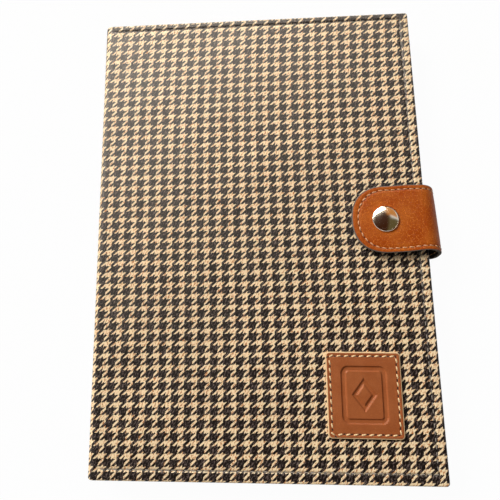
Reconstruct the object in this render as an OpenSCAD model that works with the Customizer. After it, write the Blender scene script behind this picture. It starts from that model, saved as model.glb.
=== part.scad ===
// Prescription pad holder: a stiff two-panel folder covered in checked cloth, closed by a leather
// strap that bends round the fore-edge and snaps onto the front cover.
// It lies on its back cover: +X to the fore-edge, +Y to the head, +Z up through the front cover.
// Origin: centre of the back cover's underside. All sizes are in millimetres.

/* [Closed holder] */
// Width from the spine to the fore-edge
cover_w = 168; // [150:1:200]
// Height from tail to head
cover_h = 240; // [200:1:280]
// Thickness over both covers when closed
holder_t = 15; // [14:0.5:24]
// Radius of the cover corners seen from the front
corner_r = 1.6; // [1.2:0.1:4]

/* [Cover layers] */
// Thickness of the outer cloth
cloth_t = 0.8; // [0.5:0.1:1.1]
// Thickness of the stiffening board
board_t = 1.6; // [1.4:0.1:2.4]
// Thickness of the lining sheet
lining_t = 0.6; // [0.4:0.1:0.9]
// Radius of the cloth where it turns over the board edge
edge_r = 1; // [0.5:0.1:1.1]
// How far the cloth is turned in over the board
turn_in_w = 14; // [8:1:25]
// Distance from the turned edge to the lining's edge
lining_inset = 2.5; // [1.5:0.1:6]
// Space round the boards inside the cloth
board_fit = 0.2; // [0.05:0.05:0.5]

/* [Spine folds] */
// Outer radius of the two folds along the spine
fold_r = 3.5; // [3:0.1:4.3]
// Distance from a fold to the edge of the board beside it
fold_to_board = 1; // [0.4:0.1:2]
// Space left between the bodies where a fold turns
fold_slit = 0.1; // [0.05:0.05:0.3]

/* [Strap] */
// Width of the strap
strap_w = 33; // [24:1:42]
// Height of the strap's middle line above the middle of the cover
strap_y = 3.5; // [-30:0.5:30]
// Thickness of the strap's outer leather
strap_leather_t = 0.8; // [0.6:0.1:1.2]
// Thickness of the strap's lining
strap_lining_t = 0.8; // [0.5:0.1:1]
// Reach of the strap over the front cover, from the fore-edge to the tip
strap_reach = 37; // [30:1:60]
// Gap between the front cover and the strap, filled by the closed snap
strap_lift = 2.8; // [2.6:0.1:4]
// How far the closed strap stands out from the fore-edge, and the radius of its lower corner
strap_stand = 5.6; // [4.4:0.1:8]
// Outer radius of the strap's upper corner, where it turns over the front cover
strap_bend_r = 7; // [4.4:0.1:8]
// Length of the strap caught inside the back cover
strap_tab_l = 22; // [12:1:40]
// Space left between the bodies where the strap bends
strap_slit = 0.1; // [0.05:0.05:0.3]
// Space round the strap where it leaves the cloth
strap_fit = 0.3; // [0.1:0.1:0.6]

/* [Snap fastener] */
// Distance from the strap's tip to the middle of the snap
snap_setback = 15.8; // [12:0.1:22]
// Diameter of the domed cap
cap_d = 12.5; // [10:0.5:16]
// Rise of the cap's dome above its rim
cap_rise = 1.7; // [1:0.1:2.5]
// Height of the cap's rolled rim
cap_rim_h = 0.9; // [0.6:0.1:1.2]
// Sheet thickness of the cap
cap_sheet = 0.4; // [0.3:0.05:0.5]
// Diameter of the cap's hollow post
cap_post_d = 4; // [3:0.1:5]
// Outer diameter of the socket under the strap
socket_d = 10.4; // [9:0.1:12]
// Diameter of the socket's mouth
socket_mouth_d = 6; // [5.8:0.1:6.4]
// Diameter of the wire of the spring ring in the socket
spring_wire_d = 0.5; // [0.4:0.05:0.6]
// Diameter of the stud's head
stud_d = 4.6; // [4:0.1:4.7]
// Diameter of the stud's base plate
stud_base_d = 9.6; // [8:0.1:11]
// Thickness of the stud's base plate
stud_base_t = 0.4; // [0.3:0.05:0.5]
// Diameter of the rivet that holds the stud
rivet_d = 2.6; // [2:0.1:3]
// Diameter of the rivet's head behind the board
rivet_head_d = 8; // [6:0.5:10]
// Thickness of the rivet's head, sunk in the board
rivet_head_t = 0.5; // [0.3:0.1:0.8]
// Running clearance between the stud and what surrounds it
snap_clear = 0.3; // [0.2:0.05:0.4]

/* [Patch] */
// Width of the leather patch
patch_w = 35; // [20:1:50]
// Height of the leather patch
patch_h = 39.2; // [20:0.2:60]
// Thickness of the leather patch
patch_t = 1.4; // [0.8:0.1:2.5]
// Radius of the patch's corners
patch_corner_r = 2; // [1:0.1:5]
// Distance from the fore-edge to the patch
patch_from_edge = 18.5; // [12:0.5:40]
// Distance from the tail to the patch
patch_from_tail = 20.2; // [12:0.1:40]
// Slight turn of the patch, anticlockwise seen from the front
patch_turn = -0.5; // [-3:0.5:3]
// Distance from the patch's edge to its sewn channel
patch_seam_inset = 2.3; // [1.5:0.1:4]
// Width of the patch's sewn channel
patch_seam_w = 0.9; // [0.5:0.1:1.4]
// Depth of the patch's sewn channel
patch_seam_depth = 0.35; // [0.2:0.05:0.6]

/* [Pockets] */
// Thickness of every pocket leaf
pocket_t = 0.6; // [0.4:0.1:0.7]
// Distance from the cover's edge to the pockets sewn into the seam
pocket_inset = 3; // [2.5:0.5:8]
// Distance from the pen loop to the pad pocket
pad_pocket_gap = 5.7; // [2:0.1:40]
// Height of the pad pocket
pad_pocket_h = 104; // [60:1:180]
// Radius of the thumb notch in the pad pocket
thumb_r = 13; // [6:1:20]
// Distance from the spine to the slip pocket
slip_pocket_from_spine = 9; // [8:1:40]
// Height of the slip pocket at the spine
slip_pocket_h = 206; // [150:1:228]
// Drop of the slip pocket's slanted mouth towards the fore-edge
slip_pocket_drop = 56; // [20:1:90]
// Width of the card pockets
card_pocket_w = 98; // [92:1:110]
// Height of the lowest and foremost card pocket
card_pocket_h = 48; // [40:1:60]
// Step from one card pocket's mouth to the next
card_step = 15; // [8:1:20]
// Distance from the fore-edge to the card pockets
card_from_edge = 22; // [12:1:28]
// Distance from the tail to the bottom of the card pockets
card_from_tail = 24; // [12:1:40]
// Radius of the card pockets' corners
card_corner_r = 3; // [1:0.5:6]

/* [Pen loop] */
// Inner width of the pen loop
loop_w = 11; // [9:0.5:12]
// Inner height of the pen loop, pressed flat by the closed covers
loop_h = 5.2; // [4.6:0.1:5.4]
// Thickness of the elastic
loop_t = 0.8; // [0.5:0.1:0.9]
// Width of the elastic, along the pen
loop_l = 25; // [15:1:40]
// Distance from the spine to the pen loop
loop_from_spine = 4.7; // [4.5:0.1:6]
// Height of the pen loop's middle above the middle of the cover
loop_y = 0; // [-60:1:60]

/* [Hidden] */
$fn = 96;
// Overshoot of a cutting shape, so that no skin is left
over = 1;

// Depths below the outer face of a cover, where each layer ends
core_t = cloth_t + board_t;
cover_t = core_t + lining_t;
// The fore-edge, the spine face and the centre line of the spine folds
edge_x = cover_w / 2;
spine_x = -cover_w / 2;
fold_x = spine_x + fold_r;
// Angle that the slit between two bodies takes at a fold and at the strap's bend
fold_slit_deg = (fold_slit / 2) / fold_r * 180 / PI;

// Strap: a lower corner, a straight side and an upper corner round the fore-edge, from the middle of
// the board to above the front cover
strap_t = strap_leather_t + strap_lining_t;
strap_root_z = cloth_t + board_t / 2;
tongue_z = holder_t + strap_lift;
strap_out_x = edge_x + strap_stand;
low_corner_z = strap_root_z - strap_t / 2 + strap_stand;
high_corner_x = strap_out_x - strap_bend_r;
high_corner_z = tongue_z + strap_t - strap_bend_r;
low_slit_deg = (strap_slit / 2) / strap_stand * 180 / PI;
high_slit_deg = (strap_slit / 2) / strap_bend_r * 180 / PI;
// In the seam the two plies are pared down together to the board's thickness
tab_leather_t = board_t * strap_leather_t / strap_t;
tip_x = edge_x - strap_reach;
strap_low_y = strap_y - strap_w / 2;

// Snap: everything lies on one upright axis
snap_x = tip_x + snap_setback;
cap_sphere_r = (pow(cap_d / 2, 2) + pow(cap_rise, 2)) / (2 * cap_rise);
socket_h = strap_lift - stud_base_t - snap_clear;
socket_z = tongue_z - socket_h;
socket_roof_t = 0.4;
stud_top_z = tongue_z - socket_roof_t - snap_clear;
stud_head_h = 0.7;
spring_z = stud_top_z - stud_head_h;

// Layers of the inside, counted as heights above the outer face of the cover that carries them
pocket_z = cover_t;
card_z = pocket_z + pocket_t;
gutter_x = spine_x + loop_from_spine;
loop_outer_w = loop_w + 2 * loop_t;
pad_pocket_w = cover_w - pocket_inset - loop_from_spine - loop_outer_w - pad_pocket_gap;
slip_pocket_w = cover_w - pocket_inset - slip_pocket_from_spine;

// Colours of the finishes
cloth_colour = "#8A6A4C";
board_colour = "#9C948A";
lining_colour = "#3A2A22";
leather_colour = "#B25418";
patch_colour = "#A05530";
strap_lining_colour = "#2A211C";
metal_colour = "#D9D4C8";
elastic_colour = "#1E1A18";

// A box between two corners
module block(low, high) {
    translate(low)
        cube(high - low);
}

// A rectangle with four round corners, centred
module round_rect(w, h, r) {
    square([w - 2 * r, h], center = true);
    square([w, h - 2 * r], center = true);
    for (sx = [-1, 1], sy = [-1, 1])
        translate([sx * (w / 2 - r), sy * (h / 2 - r)])
            circle(r = r);
}

// Draws an outline given in X and Z, and runs it along Y
module along_y(y0, y1) {
    translate([0, y1, 0])
        rotate([90, 0, 0])
            linear_extrude(y1 - y0)
                children();
}

// Draws an outline given in Y and Z, and runs it along X
module along_x(x0, x1) {
    translate([x0, 0, 0])
        rotate([90, 0, 90])
            linear_extrude(x1 - x0)
                children();
}

// A stretch of a ring, between two angles less than half a turn apart
module ring_sector(outer_r, inner_r, from_deg, to_deg) {
    reach = 2 * outer_r;
    intersection() {
        difference() {
            circle(r = outer_r);
            circle(r = inner_r);
        }
        polygon([
            [0, 0],
            reach * [cos(from_deg), sin(from_deg)],
            reach * [cos(to_deg), sin(to_deg)]
        ]);
    }
}

// Places what is drawn for a cover on its back onto the front cover, seen in the closed holder
module on_front_cover() {
    translate([0, 0, holder_t])
        mirror([0, 0, 1])
            children();
}

// Part of the fold between the back cover and the spine, in X and Z, with one or two plies of cloth
module fold_section(plies, from_deg, to_deg) {
    translate([fold_x, fold_r])
        ring_sector(fold_r, fold_r - plies * cloth_t, from_deg, to_deg);
}

// Runs three outlines along Y: the first between the turn-ins, the second under them, the third as
// the walls at head and tail
module cloth_along_y() {
    turn_y = cover_h / 2 - turn_in_w;
    wall_y = cover_h / 2 - cloth_t;
    along_y(-turn_y, turn_y)
        children(0);
    for (ends = [[turn_y, wall_y], [-wall_y, -turn_y]])
        along_y(ends[0], ends[1])
            children(1);
    for (ends = [[wall_y, cover_h / 2], [-cover_h / 2, -wall_y]])
        along_y(ends[0], ends[1])
            children(2);
}

// Flat panel of one cover in X and Z, cloth and board together, round at the fore-edge
module panel_section() {
    intersection() {
        translate([0, core_t / 2])
            round_rect(cover_w, core_t, edge_r);
        translate([fold_x, -over])
            square([cover_w, core_t + 2 * over]);
    }
}

// Outline of the cloth between the turn-ins: it is turned in at the fore-edge alone
module open_cloth_section() {
    difference() {
        panel_section();
        translate([fold_x - over, cloth_t])
            square([edge_x - cloth_t - fold_x + over, board_t - cloth_t]);
        translate([fold_x - over, cloth_t])
            square([edge_x - turn_in_w - fold_x + over, board_t + over]);
    }
    fold_section(1, 225 + fold_slit_deg, 270);
}

// Outline of the cloth under the turn-ins at head and tail: only the board's edge lies inside it
module turned_cloth_section() {
    difference() {
        panel_section();
        translate([fold_x + fold_to_board, cloth_t])
            square([edge_x - cloth_t - fold_x - fold_to_board, board_t - cloth_t]);
    }
    fold_section(2, 225 + fold_slit_deg, 270);
}

// Cloth of one cover: flat panel with its edges turned in, and half of the fold to the spine
module cover_cloth() {
    intersection() {
        cloth_along_y() {
            open_cloth_section();
            turned_cloth_section();
            union() {
                panel_section();
                fold_section(2, 225 + fold_slit_deg, 270);
            }
        }
        along_x(spine_x - over, edge_x + over)
            translate([0, core_t / 2])
                round_rect(cover_h, core_t, edge_r);
        linear_extrude(core_t)
            round_rect(cover_w, cover_h, corner_r);
    }
}

// Board of one cover, thinned round its edge where the cloth is turned in over it
module cover_board() {
    block(
        [fold_x + fold_to_board, -cover_h / 2 + cloth_t + board_fit, cloth_t],
        [edge_x - cloth_t - board_fit, cover_h / 2 - cloth_t - board_fit, core_t - cloth_t]
    );
    block(
        [fold_x + fold_to_board, -cover_h / 2 + turn_in_w + board_fit, core_t - cloth_t],
        [edge_x - turn_in_w - board_fit, cover_h / 2 - turn_in_w - board_fit, core_t]
    );
}

// Lining sheet of one cover
module cover_lining() {
    block(
        [fold_x, -cover_h / 2 + lining_inset, core_t],
        [edge_x - lining_inset, cover_h / 2 - lining_inset, cover_t]
    );
}

// Slot in the back cover's cloth and board that the strap's root fills
module strap_slot(length) {
    block(
        [edge_x - length, strap_low_y - strap_fit, cloth_t],
        [edge_x + over, strap_low_y + strap_w + strap_fit, core_t + over]
    );
}

module back_cloth() {
    color(cloth_colour)
        difference() {
            cover_cloth();
            strap_slot(turn_in_w);
        }
}

module back_board() {
    color(board_colour)
        difference() {
            cover_board();
            strap_slot(strap_tab_l + strap_fit);
        }
}

module back_lining() {
    color(lining_colour)
        cover_lining();
}

// Pocket for the pad's card back, with a thumb notch in its mouth
module pad_pocket() {
    right = edge_x - pocket_inset;
    bottom = -cover_h / 2 + pocket_inset;
    color(lining_colour)
        difference() {
            block([right - pad_pocket_w, bottom, pocket_z], [right, bottom + pad_pocket_h, card_z]);
            translate([right - pad_pocket_w / 2, bottom + pad_pocket_h, pocket_z - over])
                cylinder(r = thumb_r, h = pocket_t + 2 * over);
        }
}

// Flattened ring of elastic that stands on the back lining
module pen_loop() {
    outer_h = loop_h + 2 * loop_t;
    // the ends of the flattened ring stay straight over this height
    end_flat = 0.8;
    inner_r = (loop_h - end_flat) / 2;
    color(elastic_colour)
        along_y(loop_y - loop_l / 2, loop_y + loop_l / 2)
            translate([gutter_x + loop_outer_w / 2, cover_t + outer_h / 2])
                difference() {
                    round_rect(loop_outer_w, outer_h, inner_r + loop_t);
                    round_rect(loop_w, loop_h, inner_r);
                }
}

// A stretch of the strap's lower corner in X and Z, between two depths below its outer face and two
// angles
module low_corner_section(depth0, depth1, from_deg, to_deg) {
    translate([edge_x, low_corner_z])
        ring_sector(strap_stand - depth0, strap_stand - depth1, from_deg, to_deg);
}

// The same of its upper corner
module high_corner_section(depth0, depth1, from_deg, to_deg) {
    translate([high_corner_x, high_corner_z])
        ring_sector(strap_bend_r - depth0, strap_bend_r - depth1, from_deg, to_deg);
}

// Root of one ply: the tab between two heights in the seam, and the first half of the lower corner
module strap_root_ply(low_z, high_z, depth0, depth1) {
    along_y(strap_low_y, strap_low_y + strap_w) {
        translate([edge_x - strap_tab_l, low_z])
            square([strap_tab_l, high_z - low_z]);
        low_corner_section(depth0, depth1, -90, -45 - low_slit_deg);
    }
}

module strap_root_leather() {
    color(leather_colour)
        strap_root_ply(cloth_t, cloth_t + tab_leather_t, 0, strap_leather_t);
}

module strap_root_lining() {
    color(strap_lining_colour)
        strap_root_ply(cloth_t + tab_leather_t, core_t, strap_leather_t, strap_t);
}

// Spine in X and Z: its flat cloth down to a depth, and its half of each fold in one or two plies
module spine_section(depth, plies) {
    translate([spine_x, fold_r])
        square([depth, holder_t - 2 * fold_r]);
    fold_section(plies, 180, 225 - fold_slit_deg);
    translate([0, holder_t])
        mirror([0, 1])
            fold_section(plies, 180, 225 - fold_slit_deg);
}

module spine_cloth() {
    color(cloth_colour)
        intersection() {
            cloth_along_y() {
                spine_section(cloth_t, 1);
                difference() {
                    spine_section(core_t, 2);
                    translate([spine_x + cloth_t, fold_r + fold_to_board])
                        square([board_t - cloth_t, holder_t - 2 * (fold_r + fold_to_board)]);
                }
                spine_section(core_t, 2);
            }
            translate([spine_x + core_t / 2, 0, 0])
                linear_extrude(holder_t)
                    round_rect(core_t, cover_h, edge_r);
        }
}

module spine_board() {
    low_z = fold_r + fold_to_board;
    high_z = holder_t - fold_r - fold_to_board;
    color(board_colour) {
        block(
            [spine_x + cloth_t, -cover_h / 2 + cloth_t + board_fit, low_z],
            [spine_x + core_t - cloth_t, cover_h / 2 - cloth_t - board_fit, high_z]
        );
        block(
            [spine_x + core_t - cloth_t, -cover_h / 2 + turn_in_w + board_fit, low_z],
            [spine_x + core_t, cover_h / 2 - turn_in_w - board_fit, high_z]
        );
    }
}

module spine_lining() {
    color(lining_colour)
        block(
            [spine_x + core_t, -cover_h / 2 + lining_inset, fold_r],
            [spine_x + cover_t, cover_h / 2 - lining_inset, holder_t - fold_r]
        );
}

// Hole for the stud's rivet through a cover
module rivet_hole() {
    translate([snap_x, strap_y, -over])
        cylinder(d = rivet_d, h = cover_t + 2 * over);
}

module front_cloth() {
    color(cloth_colour)
        on_front_cover()
            difference() {
                cover_cloth();
                rivet_hole();
            }
}

module front_board() {
    color(board_colour)
        on_front_cover()
            difference() {
                cover_board();
                rivet_hole();
                translate([snap_x, strap_y, core_t - rivet_head_t])
                    cylinder(d = rivet_head_d + 2 * board_fit, h = rivet_head_t + over);
            }
}

module front_lining() {
    color(lining_colour)
        on_front_cover()
            cover_lining();
}

// Full-height pocket with a slanted mouth
module slip_pocket() {
    right = edge_x - pocket_inset;
    bottom = -cover_h / 2 + pocket_inset;
    color(lining_colour)
        on_front_cover()
            translate([right - slip_pocket_w, bottom, pocket_z])
                linear_extrude(pocket_t)
                    polygon([
                        [0, 0],
                        [slip_pocket_w, 0],
                        [slip_pocket_w, slip_pocket_h - slip_pocket_drop],
                        [0, slip_pocket_h]
                    ]);
}

// A card pocket: the first lies on the slip pocket, each next one on the pocket behind it
module card_pocket(place) {
    height = card_pocket_h + (2 - place) * card_step;
    color(lining_colour)
        on_front_cover()
            translate([
                edge_x - card_from_edge - card_pocket_w / 2,
                -cover_h / 2 + card_from_tail + height / 2,
                card_z + place * pocket_t
            ])
                linear_extrude(pocket_t)
                    round_rect(card_pocket_w, height, card_corner_r);
}

// Sewn leather patch with a channel for its stitches
module patch() {
    color(patch_colour)
        translate([
            edge_x - patch_from_edge - patch_w / 2,
            -cover_h / 2 + patch_from_tail + patch_h / 2,
            holder_t
        ])
            rotate([0, 0, patch_turn])
                difference() {
                    linear_extrude(patch_t)
                        round_rect(patch_w, patch_h, patch_corner_r);
                    translate([0, 0, patch_t - patch_seam_depth])
                        linear_extrude(patch_seam_depth + over)
                            difference() {
                                square(
                                    [patch_w - 2 * patch_seam_inset, patch_h - 2 * patch_seam_inset],
                                    center = true
                                );
                                square(
                                    [
                                        patch_w - 2 * (patch_seam_inset + patch_seam_w),
                                        patch_h - 2 * (patch_seam_inset + patch_seam_w)
                                    ],
                                    center = true
                                );
                            }
                }
}

// Male half of the snap: base plate, neck and rounded head in one turned outline
module snap_stud() {
    // the neck is drawn in under the head by this much all round
    neck_step = 0.4;
    neck_r = stud_d / 2 - neck_step;
    color(metal_colour)
        translate([snap_x, strap_y, holder_t])
            rotate_extrude()
                difference() {
                    union() {
                        square([stud_base_d / 2, stud_base_t]);
                        square([neck_r, stud_top_z - holder_t]);
                        translate([0, spring_z - holder_t])
                            square([stud_d / 2 - stud_head_h / 2, stud_head_h]);
                        translate([stud_d / 2 - stud_head_h / 2, spring_z - holder_t + stud_head_h / 2])
                            circle(d = stud_head_h);
                    }
                    translate([-over, -over])
                        square([over + rivet_d / 2, stud_base_t + over]);
                }
}

// Rivet through cloth and board: its head lies in the board, its end in the stud's base
module stud_rivet() {
    color(metal_colour)
        translate([snap_x, strap_y, holder_t])
            mirror([0, 0, 1]) {
                translate([0, 0, -stud_base_t])
                    cylinder(d = rivet_d, h = stud_base_t + core_t - rivet_head_t);
                translate([0, 0, core_t - rivet_head_t])
                    cylinder(d = rivet_head_d, h = rivet_head_t);
            }
}

// Side of one ply: half of each corner and the straight stretch between them
module strap_side_ply(depth0, depth1) {
    along_y(strap_low_y, strap_low_y + strap_w) {
        low_corner_section(depth0, depth1, -45 + low_slit_deg, 0);
        translate([strap_out_x - depth1, low_corner_z])
            square([depth1 - depth0, high_corner_z - low_corner_z]);
        high_corner_section(depth0, depth1, 0, 45 - high_slit_deg);
    }
}

module strap_side_leather() {
    color(leather_colour)
        strap_side_ply(0, strap_leather_t);
}

module strap_side_lining() {
    color(strap_lining_colour)
        strap_side_ply(strap_leather_t, strap_t);
}

// Tongue of one ply: the last half of the upper corner, and the flat stretch with its round tip and
// the hole for the cap's post
module strap_tongue_ply(depth0, depth1) {
    top_z = tongue_z + strap_t;
    difference() {
        intersection() {
            along_y(strap_low_y - over, strap_low_y + strap_w + over) {
                translate([tip_x, top_z - depth1])
                    square([high_corner_x - tip_x, depth1 - depth0]);
                high_corner_section(depth0, depth1, 45 + high_slit_deg, 90);
            }
            linear_extrude(top_z + over) {
                translate([tip_x + strap_w / 2, strap_y])
                    circle(d = strap_w);
                translate([tip_x + strap_w / 2, strap_low_y])
                    square([strap_reach + strap_stand, strap_w]);
            }
        }
        translate([snap_x, strap_y, tongue_z - over])
            cylinder(d = cap_post_d, h = strap_t + 2 * over);
    }
}

module strap_tongue_leather() {
    color(leather_colour)
        strap_tongue_ply(0, strap_leather_t);
}

module strap_tongue_lining() {
    color(strap_lining_colour)
        strap_tongue_ply(strap_leather_t, strap_t);
}

// Domed cap of pressed sheet with a rolled rim, and the hollow post that goes through the strap
module snap_cap() {
    top_z = tongue_z + strap_t;
    dome_base = cap_rim_h / 2;
    color(metal_colour)
        translate([snap_x, strap_y, top_z]) {
            difference() {
                intersection() {
                    translate([0, 0, dome_base + cap_rise - cap_sphere_r])
                        sphere(r = cap_sphere_r);
                    translate([0, 0, dome_base])
                        cylinder(d = cap_d, h = cap_rise + over);
                }
                translate([0, 0, dome_base + cap_rise - cap_sphere_r])
                    sphere(r = cap_sphere_r - cap_sheet);
            }
            rotate_extrude()
                translate([cap_d / 2 - cap_rim_h / 2, cap_rim_h / 2])
                    circle(d = cap_rim_h);
            // inner disc that carries the post
            cylinder(d = cap_d - cap_rim_h, h = cap_sheet);
            difference() {
                translate([0, 0, -strap_t - socket_roof_t])
                    cylinder(d = cap_post_d, h = strap_t + socket_roof_t + cap_sheet);
                translate([0, 0, -strap_t - socket_roof_t - over])
                    cylinder(d = cap_post_d - 2 * cap_sheet, h = strap_t + socket_roof_t + over);
            }
        }
}

// Female half of the snap, a ring with a groove for the spring ring
module snap_socket() {
    // play of the spring ring in its groove, above, below and round it
    play = 0.1;
    groove_r = stud_d / 2 + snap_clear + spring_wire_d + 2 * play;
    color(metal_colour)
        translate([snap_x, strap_y, socket_z])
            difference() {
                cylinder(d = socket_d, h = socket_h);
                translate([0, 0, -over])
                    cylinder(d = socket_mouth_d, h = socket_h - socket_roof_t + over);
                translate([0, 0, spring_z - socket_z - spring_wire_d / 2 - play])
                    cylinder(r = groove_r, h = spring_wire_d + 2 * play);
                translate([0, 0, -over])
                    cylinder(d = cap_post_d, h = socket_h + 2 * over);
            }
}

// Split ring of spring wire that grips the stud
module snap_spring() {
    color(metal_colour)
        translate([snap_x, strap_y, spring_z])
            rotate_extrude(angle = 330)
                translate([stud_d / 2 + snap_clear + spring_wire_d / 2, 0])
                    circle(d = spring_wire_d);
}

back_cloth();
back_board();
back_lining();
pad_pocket();
pen_loop();
strap_root_leather();
strap_root_lining();
spine_cloth();
spine_board();
spine_lining();
front_cloth();
front_board();
front_lining();
slip_pocket();
card_pocket(0);  // card_pocket_upper
card_pocket(1);  // card_pocket_middle
card_pocket(2);  // card_pocket_lower
patch();
snap_stud();
stud_rivet();
strap_side_leather();
strap_side_lining();
strap_tongue_leather();
strap_tongue_lining();
snap_cap();
snap_socket();
snap_spring();
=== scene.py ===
"""Looks of a prescription pad holder: a stiff folder in checked cloth, closed by a leather snap strap.

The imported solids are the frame. Sizes below are in millimetres and the same as the solids' own;
every mesh is laid out flat as its maker would cut it, and is then bent round the closed folder.
"""
from __future__ import annotations

import logging
import math
from collections.abc import Callable, Sequence
from dataclasses import dataclass, field
from enum import Enum

import bmesh
import bpy
import numpy as np
from mathutils import Matrix, Vector

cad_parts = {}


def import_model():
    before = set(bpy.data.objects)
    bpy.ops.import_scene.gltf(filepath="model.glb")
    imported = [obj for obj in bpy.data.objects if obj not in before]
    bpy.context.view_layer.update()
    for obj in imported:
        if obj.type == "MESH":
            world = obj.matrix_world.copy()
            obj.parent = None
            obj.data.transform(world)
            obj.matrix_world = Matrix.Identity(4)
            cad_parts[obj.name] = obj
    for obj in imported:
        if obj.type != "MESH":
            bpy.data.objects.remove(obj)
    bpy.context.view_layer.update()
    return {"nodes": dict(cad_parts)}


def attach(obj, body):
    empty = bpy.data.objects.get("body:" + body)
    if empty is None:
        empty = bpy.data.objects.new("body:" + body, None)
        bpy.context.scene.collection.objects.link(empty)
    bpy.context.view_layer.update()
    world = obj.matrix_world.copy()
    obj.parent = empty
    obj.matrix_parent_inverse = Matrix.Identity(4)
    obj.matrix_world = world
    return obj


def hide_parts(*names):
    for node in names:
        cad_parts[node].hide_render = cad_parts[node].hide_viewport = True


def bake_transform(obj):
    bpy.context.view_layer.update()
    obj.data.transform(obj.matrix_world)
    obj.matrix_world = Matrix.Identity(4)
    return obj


MM = 0.001
FLAT = "flat_mm"  # UV map that holds each point's place on the flat sheet, in mm
RIM = "rim_mm"  # distance of a point from the edge of its piece, in mm
FAR_FROM_RIM = 50.0

Array = np.ndarray
Place = Callable[[Array, Array, Array], Array]
Relief = Callable[[Array, Array], Array]
Material = bpy.types.Material
Piece = bpy.types.Object
Node = bpy.types.Node
Pair = tuple[float, float]
Point = tuple[float, float, float]
Value = bpy.types.NodeSocket | bpy.types.Node | float | str | tuple

log = logging.getLogger("pad_holder")


# Shapes


def smooth(x: Array | float, low: float, high: float) -> Array:
    """A soft step.

    Args:
        x: Values to look up.
        low: Where the step starts at 0.
        high: Where the step ends at 1.

    Returns:
        Values between 0 and 1.
    """
    t = np.clip((np.asarray(x, float) - low) / (high - low), 0.0, 1.0)
    return t * t * (3.0 - 2.0 * t)


def joined(*coordinates: Array | float) -> Array:
    """Points from their coordinates, each spread over the same grid."""
    return np.stack(np.broadcast_arrays(*coordinates), -1)


def distances(line: Array) -> Array:
    """How far along a line of points each of them lies."""
    return np.concatenate([[0.0], np.cumsum(np.hypot(*np.diff(line, axis=0).T))])


def steps(*stops: float, pitch: float) -> Array:
    """Spreads values evenly between stops.

    Args:
        stops: Values that must be among the result.
        pitch: The widest step.

    Returns:
        Rising values.
    """
    values = [np.array([stops[0]])]
    for low, high in zip(stops, stops[1:]):
        count = max(1, math.ceil((high - low) / pitch - 1e-6))
        values.append(np.linspace(low, high, count + 1)[1:])
    return np.concatenate(values)


def arc(x: float, z: float, r: float, start: float, end: float, count: int) -> list[Pair]:
    """Points on an arc, from one angle to another in degrees."""
    angles = np.radians(np.linspace(start, end, count))
    return [(x + r * math.cos(a), z + r * math.sin(a)) for a in angles]


def rectangle(s: Array, y: Array, corner_r: float = 0.0, low_too: bool = True) -> Array:
    """Lays out a grid over a rectangle whose corners are round.

    Args:
        s: Rising values along the rows.
        y: Rising values along the columns.
        corner_r: Radius of the corners.
        low_too: Whether the corners at the low end of s are round as well.

    Returns:
        The grid of (s, y).
    """
    grid = np.stack(np.meshgrid(s, y, indexing="ij"), -1)
    if corner_r <= 0:
        return grid
    for at_s, sign_s in ((s[-1], 1.0), (s[0], -1.0))[: 2 if low_too else 1]:
        for at_y, sign_y in ((y[-1], 1.0), (y[0], -1.0)):
            middle = np.array([at_s - sign_s * corner_r, at_y - sign_y * corner_r])
            u = (grid[..., 0] - middle[0]) * sign_s / corner_r
            v = (grid[..., 1] - middle[1]) * sign_y / corner_r
            here = (u > 0) & (v > 0)
            u, v = u[here], v[here]
            grid[here, 0] = middle[0] + sign_s * corner_r * u * np.sqrt(1 - v * v / 2)
            grid[here, 1] = middle[1] + sign_y * corner_r * v * np.sqrt(1 - u * u / 2)
    return grid


@dataclass
class Route:
    """A line in X and Z made of straight stretches and arcs, with the inside on its left."""

    x: float  # start in X
    z: float  # start in Z
    heading: float  # first direction in degrees, 0 along +X and 90 along +Z
    # stretches as (start distance, x, z, heading in radians, curvature)
    legs: list[tuple[float, float, float, float, float]] = field(default_factory=list)
    length: float = 0.0  # length of all the stretches

    def leg(self, length: float, turn: float = 0.0) -> Route:
        """Adds a stretch.

        Args:
            length: Its length.
            turn: How far it turns to the left, in degrees.

        Returns:
            The route itself.
        """
        curve = math.radians(turn) / length
        self.legs.append((self.length, self.x, self.z, math.radians(self.heading), curve))
        (point,), _ = self.at(np.array([self.length + length]))
        self.x, self.z = point
        self.heading += turn
        self.length += length
        return self

    def bend(self, radius: float, turn: float) -> Route:
        """Adds an arc of that radius and turn in degrees, and returns the route."""
        return self.leg(radius * math.radians(abs(turn)), turn)

    def at(self, s: Array) -> tuple[Array, Array]:
        """Looks up places on the route.

        Args:
            s: Distances from the start.

        Returns:
            The points and the unit vectors to the inside, both in X and Z.
        """
        s = np.asarray(s, float)
        point = np.zeros(s.shape + (2,))
        left = np.zeros_like(point)
        for number, (start, x, z, heading, curve) in enumerate(self.legs):
            here = s >= start if number else np.ones(s.shape, bool)
            t = s[here] - start
            now = heading + curve * t
            if curve:
                dx = (np.sin(now) - math.sin(heading)) / curve
                dz = (math.cos(heading) - np.cos(now)) / curve
            else:
                dx, dz = t * math.cos(heading), t * math.sin(heading)
            point[here] = np.stack([x + dx, z + dz], -1)
            left[here] = np.stack([-np.sin(now), np.cos(now)], -1)
        return point, left

    def place(self, inward: float = 1.0, mirror: float | None = None) -> Place:
        """Makes a function that bends a flat sheet round the route.

        Args:
            inward: 1 where depth goes to the inside, -1 where it goes to the outside.
            mirror: Height of the closed folder, for what lies on the front cover.

        Returns:
            A function of distance, Y and depth that gives points in mm.
        """

        def bent(s: Array, y: Array, depth: Array) -> Array:
            """Bends points round the route."""
            point, left = self.at(s)
            x = point[..., 0] + inward * depth * left[..., 0]
            z = point[..., 1] + inward * depth * left[..., 1]
            return joined(x, y, z if mirror is None else mirror - z)

        return bent


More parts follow.
